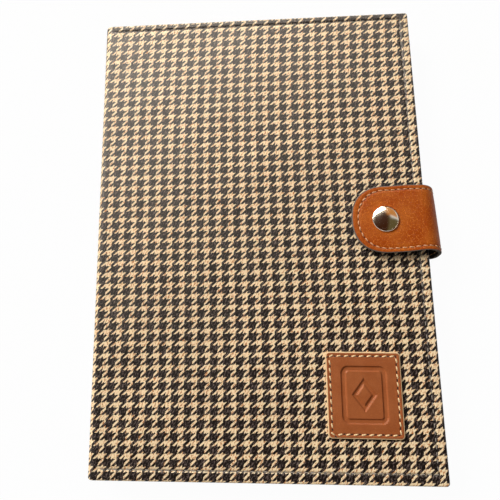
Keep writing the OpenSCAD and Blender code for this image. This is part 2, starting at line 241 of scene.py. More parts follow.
class Mesher:
    """Gathers grids of quads with their places on the flat sheet, and joins them into one object."""

    def __init__(self) -> None:
        """Starts with nothing."""
        self.grids: list[tuple[Array, ...]] = []
        self.count = 0

    def grid(self, points: Array, flat: Array, rim: Array | float = FAR_FROM_RIM, flip: bool = False,
             keep: Array | None = None, slot: int = 0) -> None:
        """Adds a grid.

        Args:
            points: Rows and columns of points in mm.
            flat: The same grid's places on the flat sheet.
            rim: The same grid's distances from the edge of the piece.
            flip: True turns the faces over.
            keep: True for each quad that is wanted, all if not given.
            slot: Number of the finish among the piece's finishes.
        """
        rows, columns = points.shape[:2]
        index = self.count + np.arange(rows * columns).reshape(rows, columns)
        quads, flats = (
            np.stack([a[:-1, :-1], a[1:, :-1], a[1:, 1:], a[:-1, 1:]], 2) for a in (index, flat)
        )
        if keep is not None:
            quads, flats = quads[keep], flats[keep]
        quads, flats = quads.reshape(-1, 4), flats.reshape(-1, 4, 2)
        if flip:
            quads, flats = quads[:, ::-1], flats[:, ::-1]
        rims = np.broadcast_to(rim, (rows, columns)).reshape(-1)
        self.grids.append((points.reshape(-1, 3), rims, quads, flats, np.full(len(quads), slot)))
        self.count += rows * columns

    def build(self, name: str, finishes: Sequence[Material], weld: float = 0.004, crease: float = 38.0,
              closed: bool = False) -> Piece:
        """Makes the object.

        Args:
            name: Its name.
            finishes: Its materials, in the order of the slots.
            weld: Points closer than this become one, in mm.
            crease: Edges sharper than this stay sharp, in degrees.
            closed: Whether it is a closed form, whose faces are turned outwards.

        Returns:
            The new object, in metres.
        """
        mesh = bpy.data.meshes.new(name)
        points, rims, quads, flats, slots = (np.concatenate(rows) for rows in zip(*self.grids))
        mesh.from_pydata((points * MM).tolist(), [], quads.tolist())
        mesh.uv_layers.new(name=FLAT).uv.foreach_set("vector", flats.astype(np.float32).ravel())
        mesh.attributes.new(RIM, "FLOAT", "POINT").data.foreach_set("value", rims.astype(np.float32))
        for finish in finishes:
            mesh.materials.append(finish)
        mesh.polygons.foreach_set("material_index", slots.astype(np.int32))
        work = bmesh.new()
        work.from_mesh(mesh)
        bmesh.ops.remove_doubles(work, verts=work.verts, dist=weld * MM)
        bmesh.ops.dissolve_degenerate(work, edges=work.edges, dist=weld * MM)
        if closed:
            bmesh.ops.recalc_face_normals(work, faces=work.faces)
        work.to_mesh(mesh)
        work.free()
        mesh.shade_smooth()
        mesh.set_sharp_from_angle(angle=math.radians(crease))
        made = bpy.data.objects.new(name, mesh)
        bpy.context.scene.collection.objects.link(made)
        return made


class Side(Enum):
    """How a side of a sheet ends."""

    ROUND = "rounded over"
    CUT = "cut square"
    OPEN = "joined to something else"


@dataclass
class Sheet:
    """A sheet given flat as a grid of (s, y), with its thickness and edges.

    The grid's rows run along s and its columns along y. It ends where the rounding of an edge
    starts, so the sheet reaches edge_r beyond it on each rounded side.
    """

    plan: Array  # rows and columns of (s, y)
    thickness: float  # thickness of the sheet
    place: Place  # function that puts (s, y, depth) in space
    edge_r: float  # radius of the rounded sides
    # how the low y, high s, high y and low s sides end
    sides: tuple[Side, Side, Side, Side] = (Side.ROUND,) * 4
    relief: Relief | None = None  # depth of what is pressed into the visible face
    rim: Relief | None = None  # distance of a point from the edge of the piece
    to_flat: Pair = (1.0, 1.0)  # factors from (s, y) to the flat cloth's coordinates
    edge_slot: int = 0  # number of the finish on the edges
    back_slot: int | None = 0  # number of the finish on the hidden face, None for no such face

    def depth(self, s: Array, y: Array) -> Array:
        """Depth of the visible face at (s, y)."""
        return np.zeros(np.shape(s)) if self.relief is None else self.relief(s, y)

    def turned(self) -> bool:
        """Whether the grid's own winding faces away from the visible side."""
        i, j = self.plan.shape[0] // 2, self.plan.shape[1] // 2
        s, y = self.plan[i - 1 : i + 1, j - 1 : j + 1].transpose(2, 0, 1)
        top, low = self.place(s, y, 0.0 * s), self.place(s, y, 0.0 * s + 1.0)
        normal = np.cross(top[1, 0] - top[0, 0], top[0, 1] - top[0, 0])
        return float(normal @ (top[0, 0] - low[0, 0])) < 0

    def profile(self) -> Array:
        """The edge's profile as rows of (outwards, share of the depth, length so far)."""
        r = min(self.edge_r, self.thickness / 2)
        upper, lower = (np.radians(np.linspace(start, start + 90, 5)) for start in (0, 90))
        out = np.concatenate([r * np.sin(upper), r * np.sin(lower)])
        down = np.concatenate([r - r * np.cos(upper), self.thickness - r - r * np.cos(lower)])
        run = distances(np.stack([out, down], -1))
        keep = np.concatenate([[True], np.diff(run) > 1e-6])
        return np.stack([out, down / self.thickness, run], -1)[keep]

    def outline(self) -> list[tuple[Side, Array, Array]]:
        """The sides that aren't open, anticlockwise, with their points and outward directions."""
        grid = self.plan
        lines = [grid[:, 0], grid[-1, :], grid[::-1, -1], grid[0, ::-1]]
        whole = np.concatenate([line[:-1] for line in lines])
        rounds = [np.full(len(line) - 1, side is Side.ROUND) for side, line in zip(self.sides, lines)]
        ahead = np.roll(whole, -1, 0) - whole
        size = np.maximum(np.hypot(*ahead.T), 1e-9)[:, None]
        normal = np.stack([ahead[:, 1], -ahead[:, 0]], -1) / size * np.concatenate(rounds)[:, None]
        both = normal + np.roll(normal, 1, 0)
        both /= np.maximum(np.hypot(*both.T), 1e-9)[:, None]
        found, first = [], 0
        for side, line in zip(self.sides, lines):
            index = np.arange(first, first + len(line)) % len(whole)
            if side is not Side.OPEN:
                found.append((side, whole[index], both[index]))
            first += len(line) - 1
        return found

    def walls(self, work: Mesher, flip: bool) -> None:
        """Adds the edges.

        Args:
            work: Gathers the grids.
            flip: Whether faces are turned over.
        """
        out, share, run = self.profile().T[..., None]
        for side, line, normal in self.outline():
            s, y = (line[:, k] + out * normal[:, k] for k in (0, 1))
            top = self.depth(*line.T)
            down = top + share * (self.thickness - top)
            along = line + run[..., None] * normal
            slot = self.edge_slot if side is Side.ROUND else 0
            work.grid(self.place(s, y, down), along * self.to_flat, 0.0, flip, slot=slot)

    def build(self, name: str, *finishes: Material) -> Piece:
        """Makes the sheet.

        Args:
            name: Name of the piece.
            finishes: Its materials, in the order of the slots.

        Returns:
            The new object.
        """
        work = Mesher()
        flip = self.turned()
        s, y = self.plan[..., 0], self.plan[..., 1]
        flat = self.plan * self.to_flat
        rim = FAR_FROM_RIM if self.rim is None else self.rim(s, y)
        work.grid(self.place(s, y, self.depth(s, y)), flat, rim, flip)
        self.walls(work, flip)
        if self.back_slot is not None:
            below = self.place(s, y, np.full(s.shape, self.thickness))
            work.grid(below, flat, rim, not flip, slot=self.back_slot)
        return work.build(name, finishes)


@dataclass
class TurnedCloth(Sheet):
    """A cover's cloth: its edges are turned in over the board and meet in mitres.

    Its low s side is open, where the spine's middle is.
    """

    back_slot: int | None = None
    turn_in: float = 14.0  # how far the cloth is turned in
    flat_from: float = 0.0  # distance s where the flat panel starts
    slot_y: Pair | None = None  # lower and upper end of the strap's slot in the fore-edge, or None
    slot_depth: float = 0.8  # depth from which the slot is open

    def profile(self) -> Array:
        """The edge's profile, with a row where the strap's slot starts."""
        rows = super().profile()
        depth = self.slot_depth / self.thickness
        number = int(np.argmin(np.abs(rows[:, 1] - depth)))
        rows[number, :2] = self.edge_r * math.sin(math.acos(1.0 - self.slot_depth / self.edge_r)), depth
        return rows

    def squeezed(self, line: Array, inward: float) -> Array:
        """Moves the outline inwards with mitred corners.

        Args:
            line: Points on the outline.
            inward: How far it moves.

        Returns:
            The moved points.
        """
        end_s, end_y = self.plan.max((0, 1))
        s, y = line.T.copy()
        flat = s > self.flat_from
        share = (end_s - inward - self.flat_from) / (end_s - self.flat_from)
        s[flat] = self.flat_from + (s[flat] - self.flat_from) * share
        for stop, sign in zip(self.slot_y or (0.0, 0.0), (-1.0, 1.0)):
            beyond = sign * (y - stop) > 0
            reach = sign * stop
            share = (end_y - inward - reach) / (end_y - reach)
            y[beyond] = stop + (y[beyond] - stop) * share
        return np.stack([s, y], -1)

    def walls(self, work: Mesher, flip: bool) -> None:
        """Adds the rounded edges and the turned-in borders.

        Args:
            work: Gathers the grids.
            flip: Whether faces are turned over.
        """
        profile = self.profile()
        over = profile[-1, 2]
        lips = np.linspace(0.0, self.turn_in - self.edge_r, 6)[1:]
        run = np.concatenate([profile[:, 2], over + lips])[:, None]
        for number, (_, line, normal) in enumerate(self.outline()):
            top = self.depth(*line.T)
            rows = [line + out * normal for out in profile[:, 0]]
            downs = [top + share * (self.thickness - top) for share in profile[:, 1]]
            s, y = np.array(rows + [self.squeezed(line, inward) for inward in lips]).transpose(2, 0, 1)
            down = np.array(downs + [0.0 * top + self.thickness] * len(lips))
            keep = None
            if number == 1:
                flat = joined(line[:, 0] + run, np.where(run > over, y, line[:, 1]))
                if self.slot_y:
                    middle = (line[1:, 1] + line[:-1, 1]) / 2
                    inside = (middle > self.slot_y[0]) & (middle < self.slot_y[1])
                    keep = ~(inside[None, :] & (down[:-1, :-1] > self.slot_depth - 0.01))
            else:
                flat = joined(np.where(run > over, s, line[:, 0]), line[:, 1] + (number - 1) * run)
            work.grid(self.place(s, y, down), flat * self.to_flat, FAR_FROM_RIM, flip, keep)


def walk(line: Array, pitch: float) -> tuple[Array, Array, float]:
    """Steps along a line at an even pitch.

    Args:
        line: Points of the line in the flat.
        pitch: Length of a step, which is fitted to the line's length.

    Returns:
        The middle of each step, its unit direction and the fitted pitch.
    """
    run = distances(line)
    count = max(1, round(run[-1] / pitch))
    at = (np.arange(count) + 0.5) * run[-1] / count
    behind, middle, ahead = (
        np.stack([np.interp(at + off, run, line[:, k]) for k in (0, 1)], -1)
        for off in (-0.2 * pitch, 0.0, 0.2 * pitch)
    )
    along = ahead - behind
    return middle, along / np.hypot(*along.T)[:, None], run[-1] / count


@dataclass(frozen=True)
class Stitching:
    """A row of stitches in round thread, each one diving into the sheet at both ends."""

    pitch: float  # distance from stitch to stitch
    length: float  # length of thread that shows in each
    thread_d: float  # diameter of the thread
    slant: float = 0.0  # turn of each stitch against the seam, in degrees
    rise: float = 0.12  # height of the thread's middle over the sheet at the middle of a stitch
    hole: float = 0.0  # length of the dark lens of painted shade that stands for the needle hole between two stitches

    def sew(self, name: str, line: Array, place: Place, finish: Material, relief: Relief | None = None,
            keep: Callable[[Array], Array] | None = None, shade: Material | None = None) -> Piece:
        """Makes the stitches along a line.

        Args:
            name: Name of the piece.
            line: The seam's line in the flat.
            place: Function that puts (s, y, depth) in space.
            finish: The thread's finish.
            relief: Depth of the sheet's face under the stitches.
            keep: Picks stitches by the s of their middle, all if not given.
            shade: Finish of the painted shade in the needle holes, where they are wanted.

        Returns:
            One object with all the stitches.
        """
        middle, along, fitted = walk(line, self.pitch)
        if keep is not None:
            wanted = keep(middle[:, 0])
            middle, along = middle[wanted], along[wanted]
        turn = math.radians(self.slant)
        along = along @ np.array([[math.cos(turn), math.sin(turn)], [-math.sin(turn), math.cos(turn)]])
        across = np.stack([-along[:, 1], along[:, 0]], -1)
        u = np.linspace(-1.0, 1.0, 9)[:, None]
        angle = np.linspace(0.0, 2 * math.pi, 9)
        radius = self.thread_d / 2 * np.sqrt(np.clip(1 - np.abs(u) ** 5, 0, 1))
        height = self.rise - (self.rise + 0.6 * self.thread_d) * np.abs(u) ** 3
        shift = u * self.length / 2
        flat = joined(shift, self.thread_d / 2 * angle)
        parts = [(shift, radius * np.cos(angle), height + radius * np.sin(angle))]
        if shade:
            # a needle hole is a flat dark lens, painted shade where the hole is, that the thread's end
            # dips into
            rows = [(0.02, 0.05), (0.55, 0.035), (1.0, -0.03), (0.55, -0.08), (0.02, -0.1)]
            ring, lens = np.array(rows).T
            ahead = ring[:, None] * self.hole / 2 * np.cos(angle) + fitted / 2
            aside = (ring[:, None] * 0.62 * np.sin(angle) - 0.35) * self.thread_d
            parts.append((ahead, aside, lens[:, None]))
        work = Mesher()
        for centre, forth, beside in zip(middle, along, across):
            for slot, (ahead, aside, over) in enumerate(parts):
                s, y = (centre[k] + ahead * forth[k] + aside * beside[k] for k in (0, 1))
                under = (s, y) if slot else centre
                floor = 0.0 if relief is None else relief(*(np.array(a) for a in under))
                work.grid(place(s, y, floor - over), joined(s, y) if slot else flat + centre, slot=slot)
        return work.build(name, [finish, shade] if shade else [finish], crease=80.0, closed=True)


def turned(name: str, profile: Sequence[Pair], axis: Point,
           finish: Material, around: int = 72) -> Piece:
    """Turns an outline about an upright axis.

    Args:
        name: Name of the piece.
        profile: Closed outline as (radius, height), without repeating its first point.
        axis: Point on the axis that heights are counted from.
        finish: The piece's finish.
        around: Number of steps in a full turn.

    Returns:
        The turned object.
    """
    outline = np.array([*profile, profile[0]])
    angle = np.linspace(0.0, 2 * math.pi, around + 1)
    r, z = outline[:, :1], outline[:, 1:]
    work = Mesher()
    points = joined(axis[0] + r * np.cos(angle), axis[1] + r * np.sin(angle), axis[2] + z)
    work.grid(points, joined(r * angle, distances(outline)[:, None]))
    return work.build(name, [finish], weld=0.002, crease=50.0, closed=True)


# Finishes

COLOURS = {"data_type": "RGBA"}  # makes a Mix node mix colours


def linear(hex_colour: str) -> tuple[float, float, float, float]:
    """Turns an sRGB hex colour to linear RGBA.

    Args:
        hex_colour: Colour as "#RRGGBB".

    Returns:
        Linear red, green, blue and alpha.
    """
    parts = [int(hex_colour[i : i + 2], 16) / 255 for i in (1, 3, 5)]
    made = [p / 12.92 if p <= 0.04045 else ((p + 0.055) / 1.055) ** 2.4 for p in parts]
    return (made[0], made[1], made[2], 1.0)


def plug(socket: bpy.types.NodeSocket, value: Value) -> None:
    """Sets an input or links it.

    Args:
        socket: The input.
        value: A number, an sRGB hex colour, a socket, or a node for its first output in use.
    """
    if isinstance(value, Node):
        value = next(output for output in value.outputs if output.enabled)
    if isinstance(value, bpy.types.NodeSocket):
        socket.id_data.links.new(value, socket)
    else:
        socket.default_value = linear(value) if isinstance(value, str) else value


def add(tree: bpy.types.NodeTree, kind: str, *values: Value, **settings: Value) -> Node:
    """Adds a node with its settings and links.

    Args:
        tree: The tree that gets the node.
        kind: The node's type without its "ShaderNode" prefix, or in capitals an operation of Math.
        values: What goes into its inputs in order.
        settings: Inputs by their capitalised names, with _ for a space, and the node's properties.

    Returns:
        The new node.
    """
    if kind.isupper():
        kind, settings = "Math", {"operation": kind, **settings}
    node = tree.nodes.new("ShaderNode" + kind)
    for key, value in settings.items():
        if not key[0].isupper():
            setattr(node, key, value)
    for socket, value in zip([socket for socket in node.inputs if socket.enabled], values):
        plug(socket, value)
    for key, value in settings.items():
        if key[0].isupper():
            plug(node.inputs[key.replace("_", " ")], value)
    return node


class Surface:
    """A material under construction: its tree, its shader and what its patterns have in common."""

    def __init__(self, name: str, **constants: Value) -> None:
        """Starts a material.

        Args:
            name: The real material's name.
            constants: Values for the shader's sockets, with _ for a space.
        """
        self.material = bpy.data.materials.new(name)
        self.material.use_nodes = True
        self.tree = self.material.node_tree
        self.shader = self.tree.nodes["Principled BSDF"]
        self.dress(**constants)

    def add(self, kind: str, *values: Value, **settings: Value) -> Node:
        """Adds a node to the tree, as the function of that name does."""
        return add(self.tree, kind, *values, **settings)

    def flat(self, u: float = 1.0, v: float = 1.0, turn: float = 0.0) -> Node:
        """Places on the flat sheet multiplied by u and v, after a turn in degrees."""
        place = self.add("UVMap", uv_map=FLAT)
        about = self.add("VectorRotate", place, Angle=math.radians(-turn), rotation_type="Z_AXIS")
        return self.add("VectorMath", about, (u, v, 1.0), operation="MULTIPLY")

    def counts(self, pitch: float = 1.0, turn: float = 0.0) -> tuple[Value, Value]:
        """Places on the flat sheet counted in steps of pitch mm, both ways, after a turn in degrees."""
        split = self.add("SeparateXYZ", self.flat(1.0 / pitch, 1.0 / pitch, turn))
        return split.outputs["X"], split.outputs["Y"]

    def ridge(self, count: Value) -> Node:
        """A round ridge in each whole step of a count, 0 at its sides and 1 on top."""
        return self.add("ABSOLUTE", self.add("SINE", self.add("MULTIPLY", count, math.pi)))

    def clouds(self, u: float, v: float, detail: float, rough: float = 0.5, turn: float = 0.0) -> Node:
        """Clouds about 0.5, u and v of them in a mm of the flat sheet after a turn in degrees."""
        return self.add("TexNoise", self.flat(u, v, turn), 1.0, detail, rough, noise_dimensions="2D")

    def specks(self, scale: float, detail: float) -> Node:
        """Clouds about 0.5 in the solid itself, with that many of them in a metre."""
        return self.add("TexNoise", self.add("TexCoord").outputs["Object"], scale, detail)

    def dress(self, **sockets: Value) -> Material:
        """Sets or links the shader's inputs, with _ for a space, and returns the material."""
        for key, value in sockets.items():
            plug(self.shader.inputs[key.replace("_", " ")], value)
        return self.material

    def emboss(self, height: Value, strength: float = 1.0, **sockets: Value) -> Material:
        """Gives the shader its relief and its other links.

        Args:
            height: Height of the surface in mm.
            strength: Share of it that shows.
            sockets: What goes into the shader's inputs, with _ for a space.

        Returns:
            The material.
        """
        return self.dress(Normal=self.add("Bump", strength, MM, Height=height), **sockets)

    def show(self, shader: Node) -> Material:
        """Shows that shader in place of the first one, and returns the material."""
        plug(self.tree.nodes["Material Output"].inputs["Surface"], shader)
        return self.material


@dataclass(frozen=True)
class CheckedCloth:
    """Houndstooth twill with a thin clear coating.

    Four dark and four pale threads take turns both ways in a 2/2 twill, which gives the broken
    checks. They are drawn as stripes within the repeat of eight threads, with edges that follow
    the plies of the yarn. Each float shows as a short stroke that leans with the yarn's twist,
    and the coating puts a low gloss on its crown. The dark yarn's streaks are a painted highlight
    in its colour, and the pale yarn has painted shade between its plies.
    """

    dark: str = "#0E0402"  # colour of the dark yarn
    dark_highlight: str = "#7C6962"  # painted highlight: colour of the streaks where the dark yarn catches the light
    pale: str = "#B46A2E"  # painted shade: colour of the pale yarn between its plies, where shade falls
    pale_crown: str = "#F3D9AE"  # colour of the pale yarn
    pitch: Pair = (0.7875, 0.725)  # distance from thread to thread, across the warp and across the weft
    origin: Pair = (5.99, 6.03)  # threads counted at the middle of the front cover
    middle: float = 89.998  # place of that middle on the flat cloth
    # how the cloth was pulled across as it was glued: the shares of 1, x, y, y2 and y3
    pull_u: tuple[float, ...] = (1.293, 0.99495, 8.29e-3, -6.34e-5, -1.252e-6)
    pull_v: tuple[float, ...] = (4.579, -6.82e-3, 1.014, 7.55e-5, 0.0)  # the same along the warp
    lean: Pair = (1.09, -1.45)  # how far a warp and a weft float lean over their length, in threads
    # share of the repeat that the dark yarns cover, across the warp and across the weft: they
    # are a little thicker
    cover: Pair = (0.585, 0.594)
    # start and width of the stripes where the warp is on top, in shares of four threads, first
    # among the pale warp threads and then among the dark ones
    twill: tuple[Pair, Pair] = ((0.342, 0.475), (0.441, 0.594))
    ragged: float = 0.2  # how far the edges of the checks follow the plies, in threads
    ply: float = 1.45  # distance from streak to streak, across them
    twist: float = -26.0  # turn of the streaks against the warp, in degrees
    relief: float = 0.05  # height of a float's crown
    ply_relief: float = 0.035  # height of a streak over the middle of its slope
    roughness: float = 0.39  # roughness of the coating

    def count(self, surface: Surface) -> list[Node]:
        """Counts threads over the pulled cloth.

        Args:
            surface: The material.

        Returns:
            Threads across the warp and across the weft.
        """
        add = surface.add
        split = add("SeparateXYZ", add("UVMap", uv_map=FLAT))
        x, y = add("SUBTRACT", split, self.middle), split.outputs["Y"]
        # the yarns wander by up to a quarter of a thread
        off = add("MULTIPLY_ADD", surface.clouds(0.9, 0.9, 2.0), 0.5, -0.25)
        threads = []
        for pull, pitch, origin in zip((self.pull_u, self.pull_v), self.pitch, self.origin):
            curve = add("MULTIPLY_ADD", y, add("MULTIPLY_ADD", y, pull[4], pull[3]), pull[2])
            here = add("MULTIPLY_ADD", y, curve, add("MULTIPLY_ADD", x, pull[1], pull[0]))
            threads.append(add("ADD", add("MULTIPLY_ADD", here, 1.0 / pitch, origin), off))
        return threads

    def checks(self, surface: Surface, u: Value, v: Value) -> Node:
        """Draws the broken checks.

        Args:
            surface: The material.
            u: Place across the warp, counted in threads.
            v: Place across the weft, counted in threads.

        Returns:
            1 for a dark yarn.
        """
        add = surface.add
        bands = []
        for place, cover in zip((u, v), self.cover):
            turn = add("FRACT", add("MULTIPLY_ADD", place, 1 / 8, cover / 2 - 0.25))
            bands.append(add("LESS_THAN", turn, cover))
        warp, weft = bands
        start, width = (add("Mix", warp, pale, dark) for pale, dark in zip(*self.twill))
        turn = add("FRACT", add("MULTIPLY_ADD", add("SUBTRACT", u, v), 1 / 4, start))
        return add("Mix", add("LESS_THAN", turn, width), weft, warp)

    def crossing(self, surface: Surface, u: Value, v: Value) -> tuple[Node, Node, Node]:
        """Works out which thread lies on top.

        Args:
            surface: The material.
            u: Place across the warp, counted in threads.
            v: Place across the weft, counted in threads.

        Returns:
            1 where the warp is on top, the place along its float and the place across it, the last
            two from 0 to 1.
        """
        add = surface.add
        step = add("SUBTRACT", add("FLOOR", u), add("FLOOR", v))
        turn = add("FLOORED_MODULO", add("ADD", step, 1.0), 4.0)
        warp_up = add("LESS_THAN", turn, 1.5)
        across_u, across_v = add("FRACT", u), add("FRACT", v)
        along_warp = add("MULTIPLY", add("SUBTRACT", add("ADD", turn, 1.0), across_v), 0.5)
        along_weft = add("MULTIPLY", add("ADD", add("SUBTRACT", turn, 2.0), across_u), 0.5)
        along = add("Mix", warp_up, along_weft, along_warp)
        return warp_up, along, add("Mix", warp_up, across_v, across_u)

    def crown(self, surface: Surface, u: Value, v: Value) -> Node:
        """Height of the float on top, from 0 at its sides and ends to 1 at its middle.

        Args:
            surface: The material.
            u: Place across the warp, counted in threads.
            v: Place across the weft, counted in threads.

        Returns:
            The height, over the float as it leans.
        """
        add = surface.add
        warp_up, along, _ = self.crossing(surface, u, v)
        from_middle = add("SUBTRACT", 0.5, along)
        leant = []
        for place, lean, up in zip((u, v), self.lean, (warp_up, add("SUBTRACT", 1.0, warp_up))):
            off = add("MULTIPLY", add("MULTIPLY", from_middle, lean), up)
            leant.append(add("SUBTRACT", place, off))
        _, along, across = self.crossing(surface, *leant)
        over, ahead = (add("SINE", add("MULTIPLY", place, math.pi)) for place in (across, along))
        return add("MULTIPLY", over, add("POWER", ahead, 0.5))

    def build(self) -> Material:
        """Makes the material."""
        surface = Surface("Coated houndstooth twill", IOR=1.5, Specular_IOR_Level=0.19)
        add = surface.add
        u, v = self.count(surface)
        crown = self.crown(surface, u, v)
        # a real ply is about 0.3 mm; its streaks are drawn five times as coarse so that they show
        across_ply, _ = surface.counts(self.ply, self.twist)
        winding = add("MULTIPLY_ADD", surface.clouds(0.7, 0.7, 1.0), 1.6, across_ply)
        wave = add("COSINE", add("MULTIPLY", winding, 2 * math.pi))
        dark = self.checks(surface, *(add("MULTIPLY_ADD", wave, self.ragged, place) for place in (u, v)))
        streak = add("POWER", add("MULTIPLY_ADD", wave, 0.5, 0.5), 3.0)
        gap = add("POWER", add("MULTIPLY_ADD", wave, -0.5, 0.5), 2.0)
        fibre = surface.clouds(1.2, 0.5, 2.0, 0.6, self.twist)
        lit = add("MapRange", fibre, 0.4, 0.6, 0.1, 1.0)
        shown = add("MULTIPLY", lit, add("MULTIPLY_ADD", crown, 0.6, 0.4))
        # painted highlight: the dark yarn turns grey along its streaks, where its crowns would catch the
        # light
        dark_side = add("Mix", add("MULTIPLY", streak, shown), self.dark, self.dark_highlight, **COLOURS)
        # painted shade: the pale yarn takes its deeper colour in the gaps between its plies
        pale_side = add("Mix", add("MULTIPLY", gap, lit), self.pale_crown, self.pale, **COLOURS)
        colour = add("Mix", dark, pale_side, dark_side, **COLOURS)
        # handling leaves faint clouds, and the cloth is darkened along the seam as painted shade in its
        # crease
        cloud = add("MULTIPLY_ADD", surface.clouds(0.03, 0.03, 2.0), 0.16, 0.92)
        seam = add("Attribute", attribute_name=RIM).outputs["Fac"]
        clouds_and_seam_shade = add("MULTIPLY", cloud, add("MapRange", seam, 0.1, 0.6, 0.35, 1.0))
        return surface.emboss(
            add("MULTIPLY_ADD", wave, self.ply_relief, add("MULTIPLY", crown, self.relief)),
            strength=0.8,
            Base_Color=add("Mix", 1.0, colour, clouds_and_seam_shade, blend_type="MULTIPLY", **COLOURS),
            Roughness=add("MULTIPLY_ADD", fibre, 0.2, self.roughness - 0.1),
        )


@dataclass(frozen=True)
class Leather:
    """Tanned hide with its grain: pebbles, finer wrinkles, and a finish that is darker in the folds; its
    pale specks and pale lines along the wrinkles are painted glints.
    """

    name: str  # name of the material
    base: str  # main colour
    deep: str  # colour in the creases and in dark clouds
    pale: str  # colour of the lighter clouds, of the painted glints and of the worn rim
    grain: float = 0.9  # width of a pebble of the grain
    relief: float = 0.05  # height of the grain
    roughness: float = 0.4  # roughness of the finish
    coat: float = 0.0  # strength of the clear dressing
    gloss: float = 0.25  # strength of the finish's own reflection, 0.5 for a full one
    rim: float = 0.8  # width of the darkened border at the piece's edge, 0 for none
    vein: float = 0.0  # share of the pale colour in lines along the wrinkles, painted glints on the grain
    wrinkle: float = 2.4  # distance from wrinkle to wrinkle

    def build(self) -> Material:
        """Makes the material."""
        surface = Surface(self.name, IOR=1.5, Specular_IOR_Level=self.gloss, Coat_Weight=self.coat,
                          Coat_Roughness=0.22, Coat_IOR=1.5)
        add = surface.add
        # the grain wanders, and its pebbles are a little wider than they are high
        drift = surface.clouds(0.8, 0.8, 2.0).outputs["Color"]
        drawn = add("VectorMath", drift, (0.9, 0.9, 0.0), surface.flat(1.0, 1.15),
                    operation="MULTIPLY_ADD")

        def from_border(width: float, uneven: float) -> Node:
            """Distance from the borders of cells of that width."""
            return add("TexVoronoi", drawn, 1.0 / width, Randomness=uneven, voronoi_dimensions="2D",
                       feature="DISTANCE_TO_EDGE")

        crease = add("MULTIPLY", from_border(self.grain, 0.95), 3.2, use_clamp=True)
        fine = surface.clouds(1.6, 1.6, 4.0, 0.65)
        patch = add("MapRange", surface.clouds(0.09, 0.09, 4.0, 0.55), 0.35, 0.68)
        layers = [
            (add("MULTIPLY", patch, 0.4), self.pale),
            (add("MULTIPLY", add("SUBTRACT", 1.0, crease), 0.4), self.deep),
            # painted glints: pale specks on the grain
            (add("MapRange", fine, 0.58, 0.72, 0.0, 0.45), self.pale),
        ]
        # painted glints: pale lines along the wrinkles
        if self.vein:
            line = add("MapRange", from_border(self.wrinkle, 1.0), 0.0, 0.13, 1.0, 0.0)
            shown = add("MapRange", fine, 0.45, 0.62, 0.0, 1.0)
            layers.append((add("MULTIPLY", add("MULTIPLY", line, shown), self.vein), self.pale))
        if self.rim:
            from_rim = add("Attribute", attribute_name=RIM).outputs["Fac"]
            layers.append((add("MapRange", from_rim, 0.0, self.rim, 0.55, 0.0), self.deep))
        colour = self.base
        for share, over in layers:
            colour = add("Mix", share, colour, over, **COLOURS)
        height = add("MULTIPLY", add("MULTIPLY_ADD", fine, 0.35, crease), self.relief)
        rough = add("MULTIPLY_ADD", fine, 0.25, self.roughness - 0.12)
        return surface.emboss(height, Base_Color=colour, Roughness=rough)


@dataclass(frozen=True)
class CutEdge:
    """Raw edge of split leather: loose fibres that scatter light softly, grey where they were painted."""

    name: str = "Painted cut leather edge"
    base: str = "#6E6256"
    deep: str = "#3E342C"

    def build(self) -> Material:
        """Makes the material."""
        surface = Surface(self.name, Roughness=0.85, IOR=1.45)
        fibres = surface.clouds(2.0, 6.0, 4.0, 0.65)
        colour = surface.add("Mix", fibres, self.deep, self.base, **COLOURS)
        return surface.emboss(surface.add("MULTIPLY", fibres, 0.12), Base_Color=colour)


@dataclass(frozen=True)
class SewingThread:
    """Bonded polyester thread: a low waxy gloss, and plies that wind round it."""

    name: str  # name of the material
    base: str  # colour of the plies
    deep: str  # colour between the plies
    ply: float = 0.5  # length of one ply's turn along the thread

    def build(self) -> Material:
        """Makes the material."""
        surface = Surface(self.name, Roughness=0.55, IOR=1.5, Specular_IOR_Level=0.3, Sheen_Weight=0.05)
        winding = surface.ridge(surface.counts(self.ply, turn=35.0)[0])
        colour = surface.add("Mix", winding, self.deep, self.base, **COLOURS)
        return surface.emboss(surface.add("MULTIPLY", winding, 0.05), Base_Color=colour)


@dataclass(frozen=True)
class BookCloth:
    """Plain-woven lining cloth, dyed dark: matt, with slubs that catch the light."""

    name: str
    base: str
    deep: str
    pitch: float = 0.55  # a real thread is about 0.3 mm, drawn nearly twice as coarse so that it shows

    def build(self) -> Material:
        """Makes the material."""
        surface = Surface(self.name, IOR=1.5, Sheen_Weight=0.1, Sheen_Roughness=0.4)
        add = surface.add
        u, v = surface.counts(self.pitch)
        pair = add("ADD", add("FLOOR", u), add("FLOOR", v))
        over = add("GREATER_THAN", add("FLOORED_MODULO", pair, 2.0), 0.5)
        ridge = add("Mix", over, surface.ridge(v), surface.ridge(u))
        height = add("MULTIPLY", ridge, add("Mix", over, 0.85, 1.0))
        slub = surface.clouds(0.25, 2.2, 3.0)
        share = add("MULTIPLY", height, add("MULTIPLY_ADD", slub, 0.8, 0.5), use_clamp=True)
        colour = add("Mix", share, self.deep, self.base, **COLOURS)
        rough = add("MULTIPLY_ADD", slub, 0.2, 0.6)
        return surface.emboss(add("MULTIPLY", height, 0.06), Base_Color=colour, Roughness=rough)


@dataclass(frozen=True)
class Nickel:
    """Nickel plate, polished: a mirror with a warm cast, dulled a little by handling."""

    base: str = "#E2DACC"
    roughness: float = 0.15

    def build(self) -> Material:
        """Makes the material."""
        surface = Surface("Polished nickel plate", Metallic=1.0, Base_Color=self.base)
        smear, scratch = surface.specks(400.0, 3.0), surface.specks(2500.0, 2.0)
        rough = surface.add("MULTIPLY_ADD", smear, 0.08, self.roughness - 0.04)
        return surface.emboss(surface.add("MULTIPLY", scratch, 0.002), Roughness=rough)


